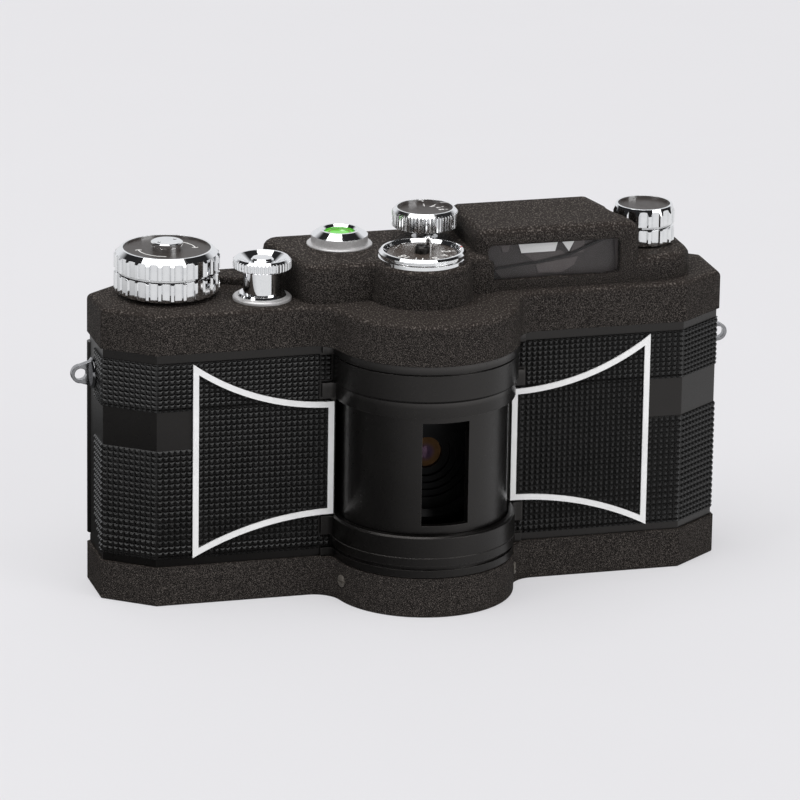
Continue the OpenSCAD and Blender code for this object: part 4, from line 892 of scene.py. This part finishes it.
def is_ray(tree, *kinds):
    """1 for rays of these kinds, else 0."""
    path = tree.nodes.new("ShaderNodeLightPath")
    total = None
    for kind in kinds:
        ray = path.outputs[f"Is {kind} Ray"]
        if total is None:
            total = ray
            continue
        either = tree.nodes.new("ShaderNodeMath")
        either.operation = "MAXIMUM"
        tree.links.new(total, either.inputs[0])
        tree.links.new(ray, either.inputs[1])
        total = either.outputs[0]
    return total


def pale_floor():
    """Paper sweep: seen directly and in gloss it is mostly its own pale colour, and it keeps the shadow."""
    s = Shader("pale_floor").set(Roughness=0.9, Specular_IOR_Level=0.0)
    gloss = s.add("ShaderNodeEmission")
    away = s.reach(along_view(GLOSS_AT, 0, 0), (1.0, 1.0, 0.0), FLOOR_REACH)
    s.link(s.ramp(away, *FLOOR_GLOSS, GLOSS_NEAR / FLOOR_REACH, GLOSS_FAR / FLOOR_REACH),
           gloss.inputs["Color"])
    s.feed("Base Color", s.ramp(s.noise(40 * MM, 2.0), *FLOOR_BASE))
    glow = s.add("ShaderNodeEmission")
    back = s.reach(along_view(0, GLOW_AT, 0), (1.0, 1.0, 0.0), FLOOR_REACH)
    s.link(s.ramp(back, *FLOOR_PAPER, GLOW_NEAR / FLOOR_REACH, GLOW_FAR / FLOOR_REACH),
           glow.inputs["Color"])
    seen = s.add("ShaderNodeMath", operation="MULTIPLY")
    seen.inputs[1].default_value = FLOOR_GLOW
    s.link(is_ray(s.tree, "Camera", "Transmission"), seen.inputs[0])
    blend = s.add("ShaderNodeMixShader")
    s.link(seen.outputs[0], blend.inputs["Fac"])
    s.link(s.bsdf.outputs["BSDF"], blend.inputs[1])
    s.link(glow.outputs["Emission"], blend.inputs[2])
    mirrored = s.add("ShaderNodeMixShader")
    s.link(is_ray(s.tree, "Glossy"), mirrored.inputs["Fac"])
    s.link(blend.outputs["Shader"], mirrored.inputs[1])
    s.link(gloss.outputs["Emission"], mirrored.inputs[2])
    s.link(mirrored.outputs["Shader"], s.tree.nodes["Material Output"].inputs["Surface"])
    return s.material


floor_mesh = bpy.data.meshes.new("floor")
floor_corners = ((-1, -1), (1, -1), (1, 1), (-1, 1))
floor_mesh.from_pydata([(x * FLOOR_REACH, y * FLOOR_REACH, 0) for x, y in floor_corners], [], [(0, 1, 2, 3)])
floor_mesh.materials.append(pale_floor())
floor = bpy.data.objects.new("floor", floor_mesh)
bpy.context.scene.collection.objects.link(floor)


def studio_world():
    """An even dome for soft light; gloss and glass see a pale backdrop behind the object and a dark room."""
    world = bpy.data.worlds.new("studio")
    world.use_nodes = True
    tree = world.node_tree
    tree.nodes.clear()
    facing = tree.nodes.new("ShaderNodeVectorMath")
    facing.operation = "DOT_PRODUCT"
    facing.inputs[1].default_value = along_view(0, 1, 0)
    tree.links.new(tree.nodes.new("ShaderNodeTexCoord").outputs["Generated"], facing.inputs[0])
    room = tree.nodes.new("ShaderNodeValToRGB")
    for element, at, value in zip(room.color_ramp.elements, ROOM_EDGE, (ROOM_DARK, BACKDROP)):
        element.position = at
        element.color = (*value, 1)
    tree.links.new(facing.outputs["Value"], room.inputs["Fac"])
    shown, dome = (tree.nodes.new("ShaderNodeBackground") for _ in range(2))
    tree.links.new(room.outputs["Color"], shown.inputs["Color"])
    dome.inputs["Color"].default_value = (*DOME, 1)
    blend = tree.nodes.new("ShaderNodeMixShader")
    tree.links.new(is_ray(tree, "Diffuse"), blend.inputs["Fac"])
    tree.links.new(shown.outputs["Background"], blend.inputs[1])
    tree.links.new(dome.outputs["Background"], blend.inputs[2])
    output = tree.nodes.new("ShaderNodeOutputWorld")
    tree.links.new(blend.outputs["Shader"], output.inputs["Surface"])
    return world


bpy.context.scene.world = studio_world()

lens = bpy.data.cameras.new("photo_view")
lens.lens = VIEW_LENS
lens.sensor_width = VIEW_SENSOR
lens.clip_start = 0.05
lens.clip_end = 20
camera = bpy.data.objects.new("photo_view", lens)
bpy.context.scene.collection.objects.link(camera)
behind = Vector((math.sin(VIEW_AZIMUTH) * math.cos(VIEW_ELEVATION),
                 -math.cos(VIEW_AZIMUTH) * math.cos(VIEW_ELEVATION), math.sin(VIEW_ELEVATION)))
camera.location = VIEW_TARGET + behind * VIEW_DISTANCE
camera.rotation_mode = "QUATERNION"
camera.rotation_quaternion = (-behind).to_track_quat("-Z", "Y") @ Quaternion((0, 0, 1), VIEW_ROLL)
bpy.context.scene.camera = camera
bpy.context.scene.view_settings.view_transform = "Standard"
